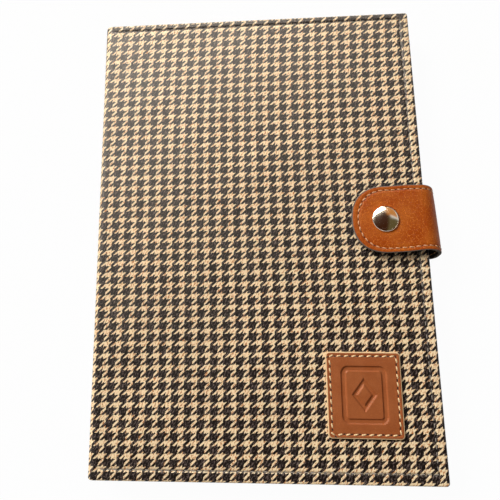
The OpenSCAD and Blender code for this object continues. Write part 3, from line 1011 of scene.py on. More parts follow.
@dataclass(frozen=True)
class Greyboard:
    """Pressed board from waste paper: flecked grey, matt and slightly fuzzy."""

    base: str = "#9C948A"
    deep: str = "#6F685F"

    def build(self) -> Material:
        """Makes the material."""
        surface = Surface("Greyboard", Roughness=0.9, IOR=1.5)
        fleck = surface.specks(900.0, 5.0)
        share = surface.add("MapRange", fleck, 0.35, 0.6)
        colour = surface.add("Mix", share, self.deep, self.base, **COLOURS)
        return surface.emboss(surface.add("MULTIPLY", fleck, 0.08), Base_Color=colour)


@dataclass(frozen=True)
class Elastic:
    """Ribbed elastic band: rubber cords under a tight black braid, matt with a faint sheen."""

    base: str = "#2B2725"
    deep: str = "#0F0D0C"
    braid: float = 0.5

    def build(self) -> Material:
        """Makes the material."""
        surface = Surface("Black ribbed elastic", Roughness=0.75, IOR=1.5, Sheen_Weight=0.2)
        height = surface.add("MULTIPLY", *map(surface.ridge, surface.counts(self.braid, turn=45.0)))
        colour = surface.add("Mix", height, self.deep, self.base, **COLOURS)
        return surface.emboss(surface.add("MULTIPLY", height, 0.05), Base_Color=colour)


class Finishes:
    """Every finish of the holder, made once."""

    def __init__(self) -> None:
        """Makes the materials."""
        self.cloth = CheckedCloth().build()
        self.lining = BookCloth("Dark brown book cloth", "#4A3529", "#231812").build()
        self.leaf = BookCloth("Dark brown pocket cloth", "#523B2D", "#281B14", pitch=0.5).build()
        self.strap = Leather("Cognac calf leather", "#A84400", "#742E02", "#D67A2A", grain=0.8,
                             relief=0.06, coat=0.02, gloss=0.08, vein=0.85).build()
        self.patch = Leather("Saddle brown leather", "#A05427", "#693418", "#B96C3C", grain=0.6,
                             relief=0.035, roughness=0.5, coat=0.015, gloss=0.11).build()
        self.backing = Leather("Dark lining leather", "#2E241E", "#17110E", "#3B2F27", grain=0.7,
                               relief=0.03, roughness=0.6).build()
        # painted shade: the dark lenses that stand for the needle holes
        self.hole = Leather("Painted needle hole shade", "#2A130A", "#180A05", "#331A0E", relief=0.01,
                            roughness=0.8, rim=0.0).build()
        self.cut = CutEdge().build()
        self.raw = CutEdge("Natural cut leather edge", "#EBCB9A", "#C59A69").build()
        self.metal = Nickel().build()
        self.board = Greyboard().build()
        self.elastic = Elastic().build()
        self.grey_thread = SewingThread("Grey-brown sewing thread", "#A89C90", "#3B322B").build()
        self.tan_thread = SewingThread("Tan sewing thread", "#E2AC78", "#945C34", ply=0.6).build()
        self.cream_thread = SewingThread("Cream waxed thread", "#F6D8A4", "#B0824C", ply=0.7).build()


# The holder


def bend(piece: Piece, low: Pair, high: Pair) -> None:
    """Bakes a piece's place into its mesh.

    Args:
        piece: The piece.
        low: X and Z where the first one's hold ends; not used.
        high: X and Z where the second one's hold starts; not used.
    """
    start, end = ((x * MM, 0.0, z * MM) for x, z in (low, high))
    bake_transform(piece)
    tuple(start)
    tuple(end)


class Half(Enum):
    """The two covers, each with its half of the spine's cloth and lining."""

    BACK = "back"
    FRONT = "front"

    @property
    def body(self) -> str:
        """Name of the cover's body."""
        return f"{self.value}_cover"

    def place(self, route: Route, inward: float, folder: Folder) -> Place:
        """Bends a sheet round a route on this side of the closed folder."""
        return route.place(inward, folder.thickness if self is Half.FRONT else None)

    def bend(self, piece: Piece, low: Pair, high: Pair, folder: Folder) -> None:
        """Passes a piece to bend(), with the holds turned to this side of the closed folder.

        Args:
            piece: The piece.
            low: X and depth where the cover's hold ends.
            high: X and depth where the spine's hold starts.
            folder: The shared sizes.
        """
        low, high = ((x, folder.thickness - z if self is Half.FRONT else z) for x, z in (low, high))
        bend(piece, low, high)


@dataclass(frozen=True)
class Folder:
    """Sizes of the closed folder, in mm, that every sub-assembly shares."""

    width: float = 168.0  # from the spine to the fore-edge
    height: float = 240.0  # from tail to head
    thickness: float = 15.0  # over both covers
    corner_r: float = 1.6  # radius of the corners
    cloth_t: float = 0.8  # thickness of the cloth
    board_t: float = 1.6  # thickness of the board
    lining_t: float = 0.6  # thickness of the lining
    edge_r: float = 1.0  # radius of the cloth round the board's edge
    fold_r: float = 3.5  # outer radius of the spine's folds
    turn_in: float = 14.0  # how far the cloth is turned in
    lining_inset: float = 2.5  # distance from the cover's edge to the lining
    seam_in: float = 4.8  # distance from the fore-edge to the seam
    seam_head: float = 3.8  # distance from the head to the seam
    seam_tail: float = 5.2  # distance from the tail to the seam

    def seam_distance(self, fore: Array, y: Array) -> tuple[Array, Array]:
        """Distances from the seam.

        Args:
            fore: Distances from the fore-edge.
            y: Places between tail and head.

        Returns:
            How far outside the seam's fore side and its end sides the points lie.
        """
        end = self.height / 2 - np.abs(y)
        return fore - self.seam_in, end - np.where(np.asarray(y) > 0, self.seam_head, self.seam_tail)

    @property
    def core_t(self) -> float:
        """Thickness of cloth and board."""
        return self.cloth_t + self.board_t

    @property
    def cover_t(self) -> float:
        """Thickness of a whole cover."""
        return self.core_t + self.lining_t

    @property
    def edge_x(self) -> float:
        """The fore-edge."""
        return self.width / 2

    @property
    def fold_x(self) -> float:
        """Where the flat covers end at the spine."""
        return self.fold_r - self.width / 2

    def outer(self) -> Route:
        """Outer face of the back half, from the middle of the spine to the fore-edge."""
        route = Route(-self.edge_x, self.thickness / 2, -90.0).leg(self.thickness / 2 - self.fold_r)
        return route.bend(self.fold_r, 90.0).leg(self.edge_x - self.fold_x)

    def inner(self, corner: float = 0.6) -> Route:
        """Face of the back half's lining, from the middle of the spine to the fore-edge."""
        x = self.cover_t - self.edge_x
        route = Route(x, self.thickness / 2, -90.0).leg(self.thickness / 2 - self.cover_t - corner)
        return route.bend(corner, 90.0).leg(self.edge_x - x - corner)


@dataclass
class Cover:
    """One cover: cloth turned in over its board, lining, and the seam round three sides."""

    half: Half  # which cover
    folder: Folder  # the shared sizes
    slot_y: Pair | None = None  # where the strap leaves the fore-edge, or None
    # the stitches of the seam
    seam: Stitching = Stitching(pitch=3.1, length=2.3, thread_d=0.42, rise=0.06)
    groove: float = 0.5  # how deep the seam pulls the cloth in

    def ends(self, reach: float) -> Array:
        """Fine steps beside an edge at reach, as distances from the middle."""
        return reach - np.array([8.6, 7.4, *np.arange(6.4, 2.7, -0.25), 2.4, 1.8, 1.6, 1.4, 1.2, 1.0])

    def cloth_relief(self, out_s: float) -> Relief:
        """Pull of the seam and the slight swell of the cloth, as a function of (s, y)."""
        folder = self.folder

        def dip(across: Array, along: Array, outside: Array) -> Array:
            """The groove of one side, deeper where the thread goes in, up to the other side's."""
            pull = 0.8 + 0.2 * np.cos(2 * math.pi * along / self.seam.pitch)
            return self.groove * pull * np.exp(-((across / 0.55) ** 2)) * smooth(outside, -0.9, 0.0)

        def relief(s: Array, y: Array) -> Array:
            """Depth of the cloth's face."""
            fore, end = out_s - s, folder.height / 2 - np.abs(y)
            flat_from = out_s - folder.edge_x + folder.fold_x
            flat = smooth(s, flat_from, flat_from + 4)
            off_fore, off_end = folder.seam_distance(fore, y)
            a = dip(off_fore, y, off_end)
            b = dip(off_end, s, off_fore) * flat
            # the paste leaves the cloth uneven by less than 0.2 mm, in clouds 30 to 40 mm wide
            waves = np.sin(0.19 * s + 1.4 * np.sin(0.07 * y)), np.sin(0.15 * y + np.sin(0.1 * s))
            swell = 0.04 * (2 + waves[0] + waves[1])
            return np.maximum(a, b) + swell * smooth(np.minimum(fore, end), 5.0, 14.0) * flat

        return relief

    def build_cloth(self, finish: Material) -> Piece:
        """Builds the cloth.

        Args:
            finish: The cloth's finish.

        Returns:
            The cloth, with its own thickness.
        """
        folder, route = self.folder, self.folder.outer()
        out_s = route.length
        fold = folder.thickness / 2 - folder.fold_r
        flat = out_s - (folder.edge_x - folder.fold_x)
        fine = self.ends(out_s)
        s = np.concatenate([steps(0.0, fold, pitch=1.4), steps(fold, flat, pitch=0.5)[1:],
                            steps(flat, fine[0], pitch=1.65)[1:], fine[1:]])
        side = self.ends(folder.height / 2)
        stops = (-side[0], *(self.slot_y or ()), side[0])
        y = np.concatenate([-side[:0:-1], steps(*stops, pitch=1.65), side[1:]])

        def from_seam(s: Array, y: Array) -> Array:
            """Distance from the seam, along which the finish paints shade in the crease, in place of the
            rim.
            """
            off_fore, off_end = folder.seam_distance(out_s - s, y)
            beside = np.where(off_end > -0.5, np.abs(off_fore), FAR_FROM_RIM)
            below = np.where((off_fore > -0.5) & (s > flat + 2.0), np.abs(off_end), FAR_FROM_RIM)
            return np.minimum(beside, below)

        sheet = TurnedCloth(
            rim=from_seam,
            plan=rectangle(s, y, folder.corner_r - folder.edge_r, low_too=False),
            thickness=folder.core_t,
            place=self.half.place(route, 1.0, folder),
            edge_r=folder.edge_r,
            sides=(Side.ROUND, Side.ROUND, Side.ROUND, Side.OPEN),
            relief=self.cloth_relief(out_s),
            to_flat=(1.0 if self.half is Half.FRONT else -1.0, 1.0),
            turn_in=folder.turn_in,
            flat_from=flat,
            slot_y=self.slot_y,
            slot_depth=folder.cloth_t,
        )
        piece = sheet.build(f"{self.half.value}_cover_cloth", finish)
        thick = piece.modifiers.new("cloth thickness", "SOLIDIFY")
        thick.thickness, thick.offset, thick.use_even_offset = folder.cloth_t * MM, -1.0, True
        return piece

    def build_lining(self, finish: Material) -> Piece:
        """Builds the lining sheet with its half of the spine, in that finish."""
        folder, route = self.folder, self.folder.inner()
        r = folder.lining_t / 2
        end_s = route.length - folder.lining_inset - r
        end_y = folder.height / 2 - folder.lining_inset - r
        fold = folder.thickness / 2 - folder.cover_t - 0.6
        near = [4.6, 3.8, *np.arange(3.2, 1.0, -0.3), 0.7]
        far = end_s - near[0]
        s = np.concatenate([steps(0.0, fold, fold + 0.95, far, pitch=0.4)[:14],
                            steps(fold + 0.95, far, pitch=4.0)[1:], end_s - np.array(near[1:] + [0.0])])
        s = np.unique(np.round(s, 4))
        side = np.concatenate([end_y - np.array(near), [end_y]])
        y = np.concatenate([-side[:0:-1], steps(-side[0], side[0], pitch=4.0), side[1:]])

        def relief(s: Array, y: Array) -> Array:
            """Depth of the seam's groove."""
            off = np.minimum(*folder.seam_distance(route.length - s, y))
            return 0.16 * np.exp(-((off / 0.5) ** 2)) * smooth(s, fold, fold + 5)

        sheet = Sheet(
            plan=rectangle(s, y),
            thickness=folder.lining_t,
            place=self.half.place(route, -1.0, folder),
            edge_r=r,
            sides=(Side.ROUND, Side.ROUND, Side.ROUND, Side.CUT),
            relief=relief,
        )
        return sheet.build(f"{self.half.value}_cover_lining", finish)

    def build_seam(self, route: Route, inward: float, name: str, finish: Material,
                   relief: Relief | None) -> Piece:
        """Sews one side of the seam that holds cloth, board and lining together.

        Args:
            route: The route of the face that it is sewn on.
            inward: 1 for the outer face, -1 for the lining.
            name: Name of the piece.
            finish: The thread's finish.
            relief: Depth of that face.

        Returns:
            The stitches.
        """
        folder = self.folder
        far = route.length - folder.seam_in
        near = route.length - (folder.edge_x - folder.fold_x) + 2.5
        low, high = folder.seam_tail - folder.height / 2, folder.height / 2 - folder.seam_head
        line = np.array([(near, low), (far, low), (far, high), (near, high)])
        return self.seam.sew(name, line, self.half.place(route, inward, folder), finish, relief)

    def dress(self, use: Finishes) -> list[Piece]:
        """Builds the cover's pieces and hangs its two seams on the cover's body.

        Args:
            use: The finishes.

        Returns:
            The pieces.
        """
        folder, half = self.folder, self.half
        outer, inner = folder.outer(), folder.inner()
        outside, inside = self.build_cloth(use.cloth), self.build_lining(use.lining)
        halves = (half.value, "spine") if half is Half.FRONT else (half.value,)
        for piece, kind, slot in (
            (outside, "cloth", "houndstooth_cloth"), (inside, "lining", "lining_sheet"),
        ):
            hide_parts(*(f"{part}_{kind}" for part in halves))
        half.bend(outside, (folder.fold_x, 0.0), (-folder.edge_x, folder.fold_r), folder)
        x = folder.cover_t - folder.edge_x
        half.bend(inside, (x + 2.2, folder.cover_t), (x, folder.cover_t + 2.2), folder)
        made = [outside, inside]
        for face, route, inward, relief in (
            ("outside", outer, 1.0, self.cloth_relief(outer.length)), ("inside", inner, -1.0, None),
        ):
            seam = self.build_seam(route, inward, f"{half.value}_seam_{face}", use.grey_thread, relief)
            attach(seam, half.body)
            made.append(seam)
        return made


@dataclass
class Strap:
    """The closing strap: leather over lining, sewn round, bent round the fore-edge."""

    folder: Folder  # the shared sizes
    width: float = 33.0  # width of the strap
    y: float = 3.5  # height of its middle line
    leather_t: float = 0.8  # thickness of the leather
    lining_t: float = 0.8  # thickness of its lining
    edge_r: float = 0.35  # radius of its rounded edges
    reach: float = 37.0  # from the fore-edge to the tip
    lift: float = 2.8  # gap over the front cover
    tab: float = 22.0  # length inside the back cover
    stand: float = 5.6  # how far it stands out from the fore-edge, and outer radius of its lower corner
    high_r: float = 9.0  # outer radius of its upper corner
    skew: float = 2.8  # tilt of the fold line, which isn't quite parallel to the fore-edge, in degrees
    bulge: float = 0.7  # how far the leather springs out beyond the fold
    drawn: Pair = (0.9, -1.9)  # how far the tongue is drawn up and the tab down, in Y
    # how far the tip spreads beyond a half circle: at its corners, its end and its sides
    fuller: Point = (0.9, 0.5, 0.4)
    snap_in: float = 15.8  # from the tip to the snap's axis
    seam_in: float = 2.1  # distance from the long sides to the seam
    tip_in: float = 3.0  # distance from the tip to the seam
    # the stitches
    seam: Stitching = Stitching(pitch=3.05, length=2.3, thread_d=0.55, slant=8.0, rise=0.1, hole=1.15)

    @property
    def thickness(self) -> float:
        """Both plies."""
        return self.leather_t + self.lining_t

    @property
    def top_z(self) -> float:
        """Top of the tongue."""
        return self.folder.thickness + self.lift + self.thickness

    @property
    def root_z(self) -> float:
        """Outer face of the tab in the back cover."""
        return self.folder.cloth_t

    @property
    def side(self) -> float:
        """Upright stretch between the two corners."""
        return self.top_z - self.root_z - self.stand - self.high_r

    @property
    def middle(self) -> float:
        """Distance s where the root's half meets the tongue's, halfway up the upright stretch."""
        return self.tab + self.stand * math.pi / 2 + self.side / 2

    @property
    def bend_end(self) -> float:
        """Distance s where the tongue starts to lie flat."""
        return self.tab + (self.stand + self.high_r) * math.pi / 2 + self.side

    @property
    def tip(self) -> float:
        """Distance s of the tip."""
        return self.bend_end + self.reach + self.stand - self.high_r

    def outer(self) -> Place:
        """Puts a point of the outer face in space, from the end of the tab to the tip."""
        route = Route(self.folder.edge_x - self.tab, self.root_z, 0.0).leg(self.tab)
        route.bend(self.stand, 90.0).leg(self.side)
        bent = route.bend(self.high_r, 90.0).leg(self.tip - self.bend_end).place(1.0)
        slope, half, snap = math.tan(math.radians(self.skew)), self.width / 2, self.tip - self.snap_in

        def askew(s: Array, y: Array, depth: Array) -> Array:
            """Bends the strap and tilts its fold line."""
            point = bent(s, y, depth)
            share = smooth(s, self.tab, self.middle) * (1 - smooth(s, self.bend_end, snap))
            point[..., 0] -= share * ((y - self.y) * slope - self.bulge)
            up, down = self.drawn
            rise = up * (1 - smooth(s, self.bend_end - 2.0, snap))
            point[..., 1] += rise + (down - up) * (1 - smooth(s, self.tab, self.bend_end))
            corner, end, side = self.fuller
            ahead, aside = np.clip((s - self.tip + half) / half, 0.0, 1.0), (y - self.y) / half
            swell = 4 * corner * (ahead * aside) ** 2
            point[..., 0] -= ahead * (swell + end)
            point[..., 1] += aside * (swell + side * smooth(s, self.bend_end, self.bend_end + 8.0))
            return point

        return askew

    def inset(self, s: Array, y: Array) -> Array:
        """Distance of (s, y) from the strap's outline."""
        half, w = self.width / 2, np.asarray(y) - self.y
        centre = self.tip - half
        return np.where(np.asarray(s) > centre, half - np.hypot(s - centre, w), half - np.abs(w))

    def pressed(self, s: Array, y: Array) -> Array:
        """Relief of the leather: drawn in along the seam, thinner towards the edge."""
        inset, half = self.inset(s, y), self.width / 2
        round_tip = np.clip((np.asarray(s) - self.tip + half) / (half - self.tip_in), 0.0, 1.0) ** 2
        seam_in = self.seam_in + (self.tip_in - self.seam_in) * round_tip
        seam = 0.24 * np.exp(-(((inset - seam_in) / 0.7) ** 2))
        border = 0.12 * (1 - smooth(inset, 0.2, 1.2))
        swell = 0.06 * (1 - smooth(inset, seam_in, seam_in + 6.0))
        return seam + border + swell * (inset > seam_in)

    def columns(self) -> Array:
        """Steps from the outline to the middle line."""
        fine = np.arange(0.6, 4.6, 0.25)
        return np.array([self.edge_r, *fine, 5.2, 6.4, 8.0, 10.2, 12.4, 14.5, self.width / 2])

    def root_plan(self) -> Array:
        """Grid of the root's half, as (s, y)."""
        a = self.columns()
        w = np.concatenate([a - self.width / 2, (self.width / 2 - a)[-2::-1]])
        s = np.concatenate([steps(0.3, self.tab, pitch=4.0),
                            steps(self.tab, self.middle, pitch=0.75)[1:]])
        return rectangle(s, self.y + w)

    def tongue_plan(self) -> Array:
        """Grid of the tongue's half, as (s, y): its rows follow the outline round the tip."""
        half = self.width / 2
        centre = self.tip - half
        s = np.concatenate([steps(self.middle, self.bend_end, pitch=0.75),
                            steps(self.bend_end, centre, pitch=1.4)[1:]])
        a = self.columns()[None, :]
        turn = np.radians(np.linspace(0.0, 180.0, 49))[1:-1, None]
        tip = joined(centre + (half - a) * np.sin(turn), self.y - (half - a) * np.cos(turn))
        low, high = joined(s[:, None], self.y - half + a), joined(s[::-1, None], self.y + half - a)
        return np.concatenate([low, tip, high])

    def seam_line(self, start: float) -> Array:
        """The seam's line from one side of the root round the tip to the other."""
        half = self.width / 2
        centre = self.tip - half
        turn = np.radians(np.linspace(0.0, 180.0, 61))
        ahead, r = half - self.tip_in, half - self.seam_in
        tip = joined(centre + ahead * np.sin(turn), self.y - r * np.cos(turn))
        return np.concatenate([[(start, self.y - r)], tip, [(start, self.y + r)]])

    def bend_root(self, piece: Piece) -> None:
        """Passes a piece of the root's half to bend(), with the holds of the back cover and of the
        strap's side.
        """
        x, z = self.folder.edge_x, self.root_z
        high = (x + self.stand - 0.7, z + self.stand + 1.6)
        bend(piece, (x + 0.5, z + 0.7), high)

    def bend_tongue(self, piece: Piece) -> None:
        """Passes a piece of the tongue's half to bend(), with the holds of the strap's side and of the
        tongue.
        """
        x = self.folder.edge_x + self.stand
        low = (x - 0.7, self.root_z + self.stand + 4.1)
        bend(piece, low, (x - self.high_r, self.top_z - self.thickness))

    def dress(self, use: Finishes) -> list[Piece]:
        """Builds the strap's pieces and passes each to bend_root or bend_tongue.

        Args:
            use: The finishes.

        Returns:
            The pieces.
        """
        outer = self.outer()

        def under(s: Array, y: Array, depth: Array) -> Array:
            """The lining's face, which is the strap's inside."""
            return outer(s, y, self.thickness - depth)

        made = []
        halves = (
            ("root", self.root_plan(), Side.ROUND, self.bend_root),
            ("tongue", self.tongue_plan(), Side.OPEN, self.bend_tongue),
        )
        for part, plan, end, bent in halves:
            sides, first = (Side.ROUND, Side.CUT, end, Side.CUT), part == "root"
            nodes = ["strap_root"] if first else ["strap_tongue", "strap_side"]
            top = Sheet(plan, self.leather_t, outer, self.edge_r, sides, self.pressed, self.inset,
                        edge_slot=1, back_slot=1)
            below = Sheet(plan, self.lining_t, under, 0.3, sides, None, self.inset, edge_slot=1)
            for kind, sheet, finish in (("leather", top, use.strap), ("lining", below, use.backing)):
                piece = sheet.build(f"strap_{part}_{kind}_ply", finish, use.cut)
                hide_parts(*(f"{node}_{kind}" for node in nodes))
                made.append(piece)
            for face, kind, place, relief, shade in (
                ("outside", "leather", outer, self.pressed, use.hole),
                ("inside", "lining", under, None, None),
            ):
                piece = self.seam.sew(
                    f"strap_{part}_seam_{face}", self.seam_line(self.tab + 2.0), place, use.tan_thread,
                    relief, keep=lambda s, first=first: (s < self.middle) == first, shade=shade,
                )
                made.append(piece)
            for piece in made[-4:]:
                bent(piece)
        return made


@dataclass
class Snap:
    """The snap fastener: domed cap and socket on the strap, stud on the front cover."""

    strap: Strap  # the strap that carries it
    cap_d: float = 13.0  # diameter of the cap
    rise: float = 1.7  # rise of its dome
    rim: float = 0.9  # thickness of its rolled rim
    post_d: float = 4.0  # diameter of the cap's post
    socket_d: float = 10.4  # diameter of the socket
    mouth_d: float = 6.0  # diameter of the socket's mouth
    stud_d: float = 4.6  # diameter of the stud's head
    base_d: float = 9.6  # diameter of the stud's base

    def axis(self, z: float) -> Point:
        """The snap's axis at height z."""
        strap = self.strap
        return (strap.folder.edge_x - strap.reach + strap.snap_in, strap.y, z)

    def build_cap(self, finish: Material) -> Piece:
        """Turns the cap: a dome pressed from sheet, rolled under at the rim, on a hollow post."""
        radius = self.cap_d / 2
        base = self.rim / 2
        sphere = (radius**2 + self.rise**2) / (2 * self.rise)
        meet = math.degrees(math.asin((radius - 0.3) / sphere))
        dome = arc(0.0, base + self.rise - sphere, sphere, 90.0, 90.0 - meet, 25)
        roll = arc(radius - base, base, base, 58.0, -90.0, 12)
        post = self.post_d / 2
        below = -self.strap.thickness - 0.4
        stem = [(post + 0.3, 0.0), (post, -0.2), (post, below)]
        stem += [(post - 0.4, below), (post - 0.4, -0.3), (0.0, -0.3)]
        return turned("cap", dome + roll + stem, self.axis(self.strap.top_z), finish, around=96)

    def build_socket(self, finish: Material) -> Piece:
        """Turns the socket with its rounded mouth and the groove for the spring ring."""
        strap = self.strap
        low, high = 0.7, strap.lift
        mouth, outer, post = self.mouth_d / 2, self.socket_d / 2, self.post_d / 2
        profile = (
            [(mouth, low + 0.3)]
            + arc(mouth + 0.3, low + 0.3, 0.3, 180.0, 270.0, 6)
            + arc(outer - 0.4, low + 0.4, 0.4, -90.0, 0.0, 8)
            + [(outer, high), (post, high), (post, high - 0.4), (mouth, high - 0.4)]
            + [(mouth, low + 1.05), (mouth + 0.3, low + 1.05)]
            + [(mouth + 0.3, low + 0.4), (mouth, low + 0.4)]
        )
        return turned("socket", profile, self.axis(strap.folder.thickness), finish)

    def build_stud(self, finish: Material) -> Piece:
        """Turns the stud: a dished base, a neck and a rounded head with a dimple."""
        base, head = self.base_d / 2, self.stud_d / 2
        profile = (
            [(0.0, 1.8), (0.5, 1.82), (0.9, 2.06), (1.1, 2.1)]
            + arc(head - 0.35, 1.75, 0.35, 90.0, -90.0, 9)
            + [(head - 0.4, 1.3), (head - 0.4, 0.75), (head - 0.25, 0.5), (head + 0.1, 0.4)]
            + arc(base - 0.2, 0.2, 0.2, 90.0, -90.0, 7)
            + [(1.3, 0.0), (1.3, 0.4), (0.0, 0.4)]
        )
        return turned("stud", profile, self.axis(self.strap.folder.thickness), finish)

    def dress(self, use: Finishes) -> list[Piece]:
        """Builds the snap's pieces and hangs them on their bodies.

        Args:
            use: The finishes.

        Returns:
            The pieces.
        """
        rows = (
            (self.build_cap(use.metal), "snap_cap", "strap_tongue"),
            (self.build_socket(use.metal), "snap_socket", "strap_tongue"),
            (self.build_stud(use.metal), "snap_stud", "front_cover"),
        )
        for piece, node, body in rows:
            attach(piece, body)
            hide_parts(node)
        return [row[0] for row in rows]


@dataclass
class Patch:
    """The leather patch on the front cover, sewn through a channel, with a plain tooled lozenge."""

    folder: Folder  # the shared sizes
    width: float = 35.0  # width of the patch
    height: float = 39.2  # height of the patch
    thickness: float = 1.4  # thickness of the leather
    corner_r: float = 2.0  # radius of its corners
    from_edge: float = 18.5  # distance to the fore-edge
    from_tail: float = 20.2  # distance to the tail
    turn: float = -0.5  # turn in degrees, anticlockwise
    seam_in: float = 1.9  # distance from its edge to the seam
    # the stitches
    seam: Stitching = Stitching(pitch=3.6, length=2.6, thread_d=0.72, slant=13.0, rise=0.16, hole=1.6)
    # width, height, band and corner radius of the pressed frame
    frame: tuple[float, float, float, float] = (21.0, 26.0, 2.2, 3.4)
    lozenge: Pair = (5.6, 7.4)  # half width and half height of the lozenge in it
    tooled: float = 0.7  # depth of both

    def place(self, s: Array, y: Array, depth: Array) -> Array:
        """Puts a point of the patch on the front cover."""
        folder = self.folder
        turn = math.radians(self.turn)
        x0 = folder.edge_x - self.from_edge - self.width / 2
        y0 = self.from_tail + self.height / 2 - folder.height / 2
        x = x0 + s * math.cos(turn) - y * math.sin(turn)
        v = y0 + s * math.sin(turn) + y * math.cos(turn)
        return joined(x, v, folder.thickness + self.thickness - depth)

    def inset(self, s: Array, y: Array) -> Array:
        """Distance of (s, y) from the patch's edge."""
        return np.minimum(self.width / 2 - np.abs(s), self.height / 2 - np.abs(y))

    def pressed(self, s: Array, y: Array) -> Array:
        """Relief: the seam's channel, the puffed border outside it, the pressed frame and lozenge."""
        inset = self.inset(s, y)
        channel = 0.3 * np.exp(-(((inset - self.seam_in) / 0.6) ** 2))
        border = 0.16 * (1 - smooth(inset, 0.3, 1.2))
        field_in = 0.1 * np.exp(-(((inset - self.seam_in - 1.4) / 1.4) ** 2))
        frame_w, frame_h, band, r = self.frame
        ahead, aside = np.abs(s) - frame_w / 2 + r, np.abs(y) - frame_h / 2 + r
        beside = np.minimum(np.maximum(ahead, aside), 0)
        off = np.hypot(np.maximum(ahead, 0), np.maximum(aside, 0)) + beside - r
        a, b = self.lozenge
        beyond = (np.abs(s) / a + np.abs(y) / b - 1) * a * b / math.hypot(a, b)
        wall = 0.25
        framed = smooth(-off, -wall, wall) * smooth(off + band, -wall, wall)
        ringed = smooth(-beyond, -wall, wall) * smooth(beyond + 1.7, -wall, wall)
        pressed_in = self.tooled * np.maximum(framed, ringed)
        return np.maximum(np.maximum(channel, border), np.maximum(field_in, pressed_in))

    def dress(self, use: Finishes) -> list[Piece]:
        """Builds the patch and its seam.

        Args:
            use: The finishes.

        Returns:
            The pieces.
        """
        edge_r = 0.5
        near = [edge_r, 0.75, 1.0, 1.3, 1.6]
        grid = []
        for size in (self.width / 2, self.height / 2):
            inner = steps(-size + near[-1], size - near[-1], pitch=0.3)
            outer = size - np.array(near[-2::-1])
            grid.append(np.concatenate([-outer[::-1], inner, outer]))
        sheet = Sheet(rectangle(*grid, self.corner_r - edge_r), self.thickness, self.place, edge_r,
                      relief=self.pressed, rim=self.inset, edge_slot=1)
        piece = sheet.build("patch_leather_piece", use.patch, use.raw)
        x, y, r = self.width / 2 - self.seam_in, self.height / 2 - self.seam_in, 0.8
        line = []
        for sx, sy, start in ((1, -1, -90), (1, 1, 0), (-1, 1, 90), (-1, -1, 180)):
            line += arc(sx * (x - r), sy * (y - r), r, start, start + 90, 5)
        round_again = np.array(line + line[:1])
        sewn = self.seam.sew("patch_seam", round_again, self.place, use.cream_thread, self.pressed,
                             shade=use.hole)
        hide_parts("patch")
        for part in (piece, sewn):
            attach(part, "front_cover")
        return [piece, sewn]


@dataclass
class Pocket:
    """A flat pocket inside a cover, with a hem along its mouth and a seam round the other sides."""

    node: str  # the solid that it stands for
    half: Half  # the cover that carries it
    folder: Folder  # the shared sizes
    z: float  # height of its face above the cover's outer face
    left: float  # low end in X
    right: float  # high end in X
    bottom: float  # low end in Y
    mouth: Callable[[Array], Array]  # function that gives the mouth's Y for X
    stops: tuple[float, ...] = ()  # values of X that the grid must have
    thickness: float = 0.6  # thickness of the leaf
    hem: float = 7.0  # width of the hem
    seam_in: float = 2.2  # distance from the edge to the seam
    # highest Y of the seam on the low and on the high side, or None for no seam there
    seam_top: float | None = None
    corner_r: float = 0.0  # radius of the corners

    def place(self) -> Place:
        """Puts a point of the pocket on the cover's lining."""
        return self.half.place(Route(0.0, self.z, 0.0).leg(1.0), -1.0, self.folder)

    def pressed(self, s: Array, y: Array) -> Array:
        """Relief: the doubled hem stands proud of the rest of the leaf."""
        return 0.14 * smooth(self.mouth(s) - y, self.hem - 0.3, self.hem + 0.4)

    def dress(self, use: Finishes) -> list[Piece]:
        """Builds the pocket and its seams.

        Args:
            use: The finishes.

        Returns:
            The pieces.
        """
        r = self.thickness / 2
        low, high = self.left + r, self.right - r
        ends = [low, low + 1.0, low + 2.0, low + 3.0]
        s = steps(*sorted({*ends, *self.stops, *(low + high - e for e in ends)}), pitch=2.5)
        at_hem = self.hem + np.array([-0.8, -0.2, 0.1, 0.6, 2.0])
        from_mouth = np.concatenate([[0, 0.6, 1.2, 3.0, 5.0], at_hem])
        base = self.bottom + r
        upper = (self.mouth(s) - r)[:, None] - from_mouth
        lower = base + (upper[:, -1:] - base) * np.linspace(1.0, 0.0, 30)[1:]
        y = np.concatenate([upper, lower], 1)[:, ::-1]
        plan = rectangle(s, y[0], self.corner_r) if self.corner_r else joined(s[:, None], y)
        leaf = Sheet(plan, self.thickness, self.place(), r, relief=self.pressed)
        piece = leaf.build(f"{self.node}_leaf", use.leaf)
        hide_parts(self.node)
        cut = self.mouth(s) - self.bottom
        made = [piece]
        inner = steps(*sorted({low, *self.stops, high}), pitch=1.5)
        lines = {"hem": joined(inner, self.mouth(inner) - self.hem + 1.2)}
        if self.seam_top is not None:
            x0, x1, y0 = self.left + self.seam_in, self.right - self.seam_in, self.bottom + self.seam_in
            lines["side"] = np.array([(x0, self.seam_top), (x0, y0), (x1, y0), (x1, self.seam_top)])
        thin = Stitching(pitch=2.8, length=2.2, thread_d=0.4, rise=0.08)
        for name, line in lines.items():
            seam = f"{self.node}_{name}_seam"
            made.append(thin.sew(seam, line, self.place(), use.grey_thread, self.pressed))
        for part in made:
            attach(part, self.half.body)
        return made


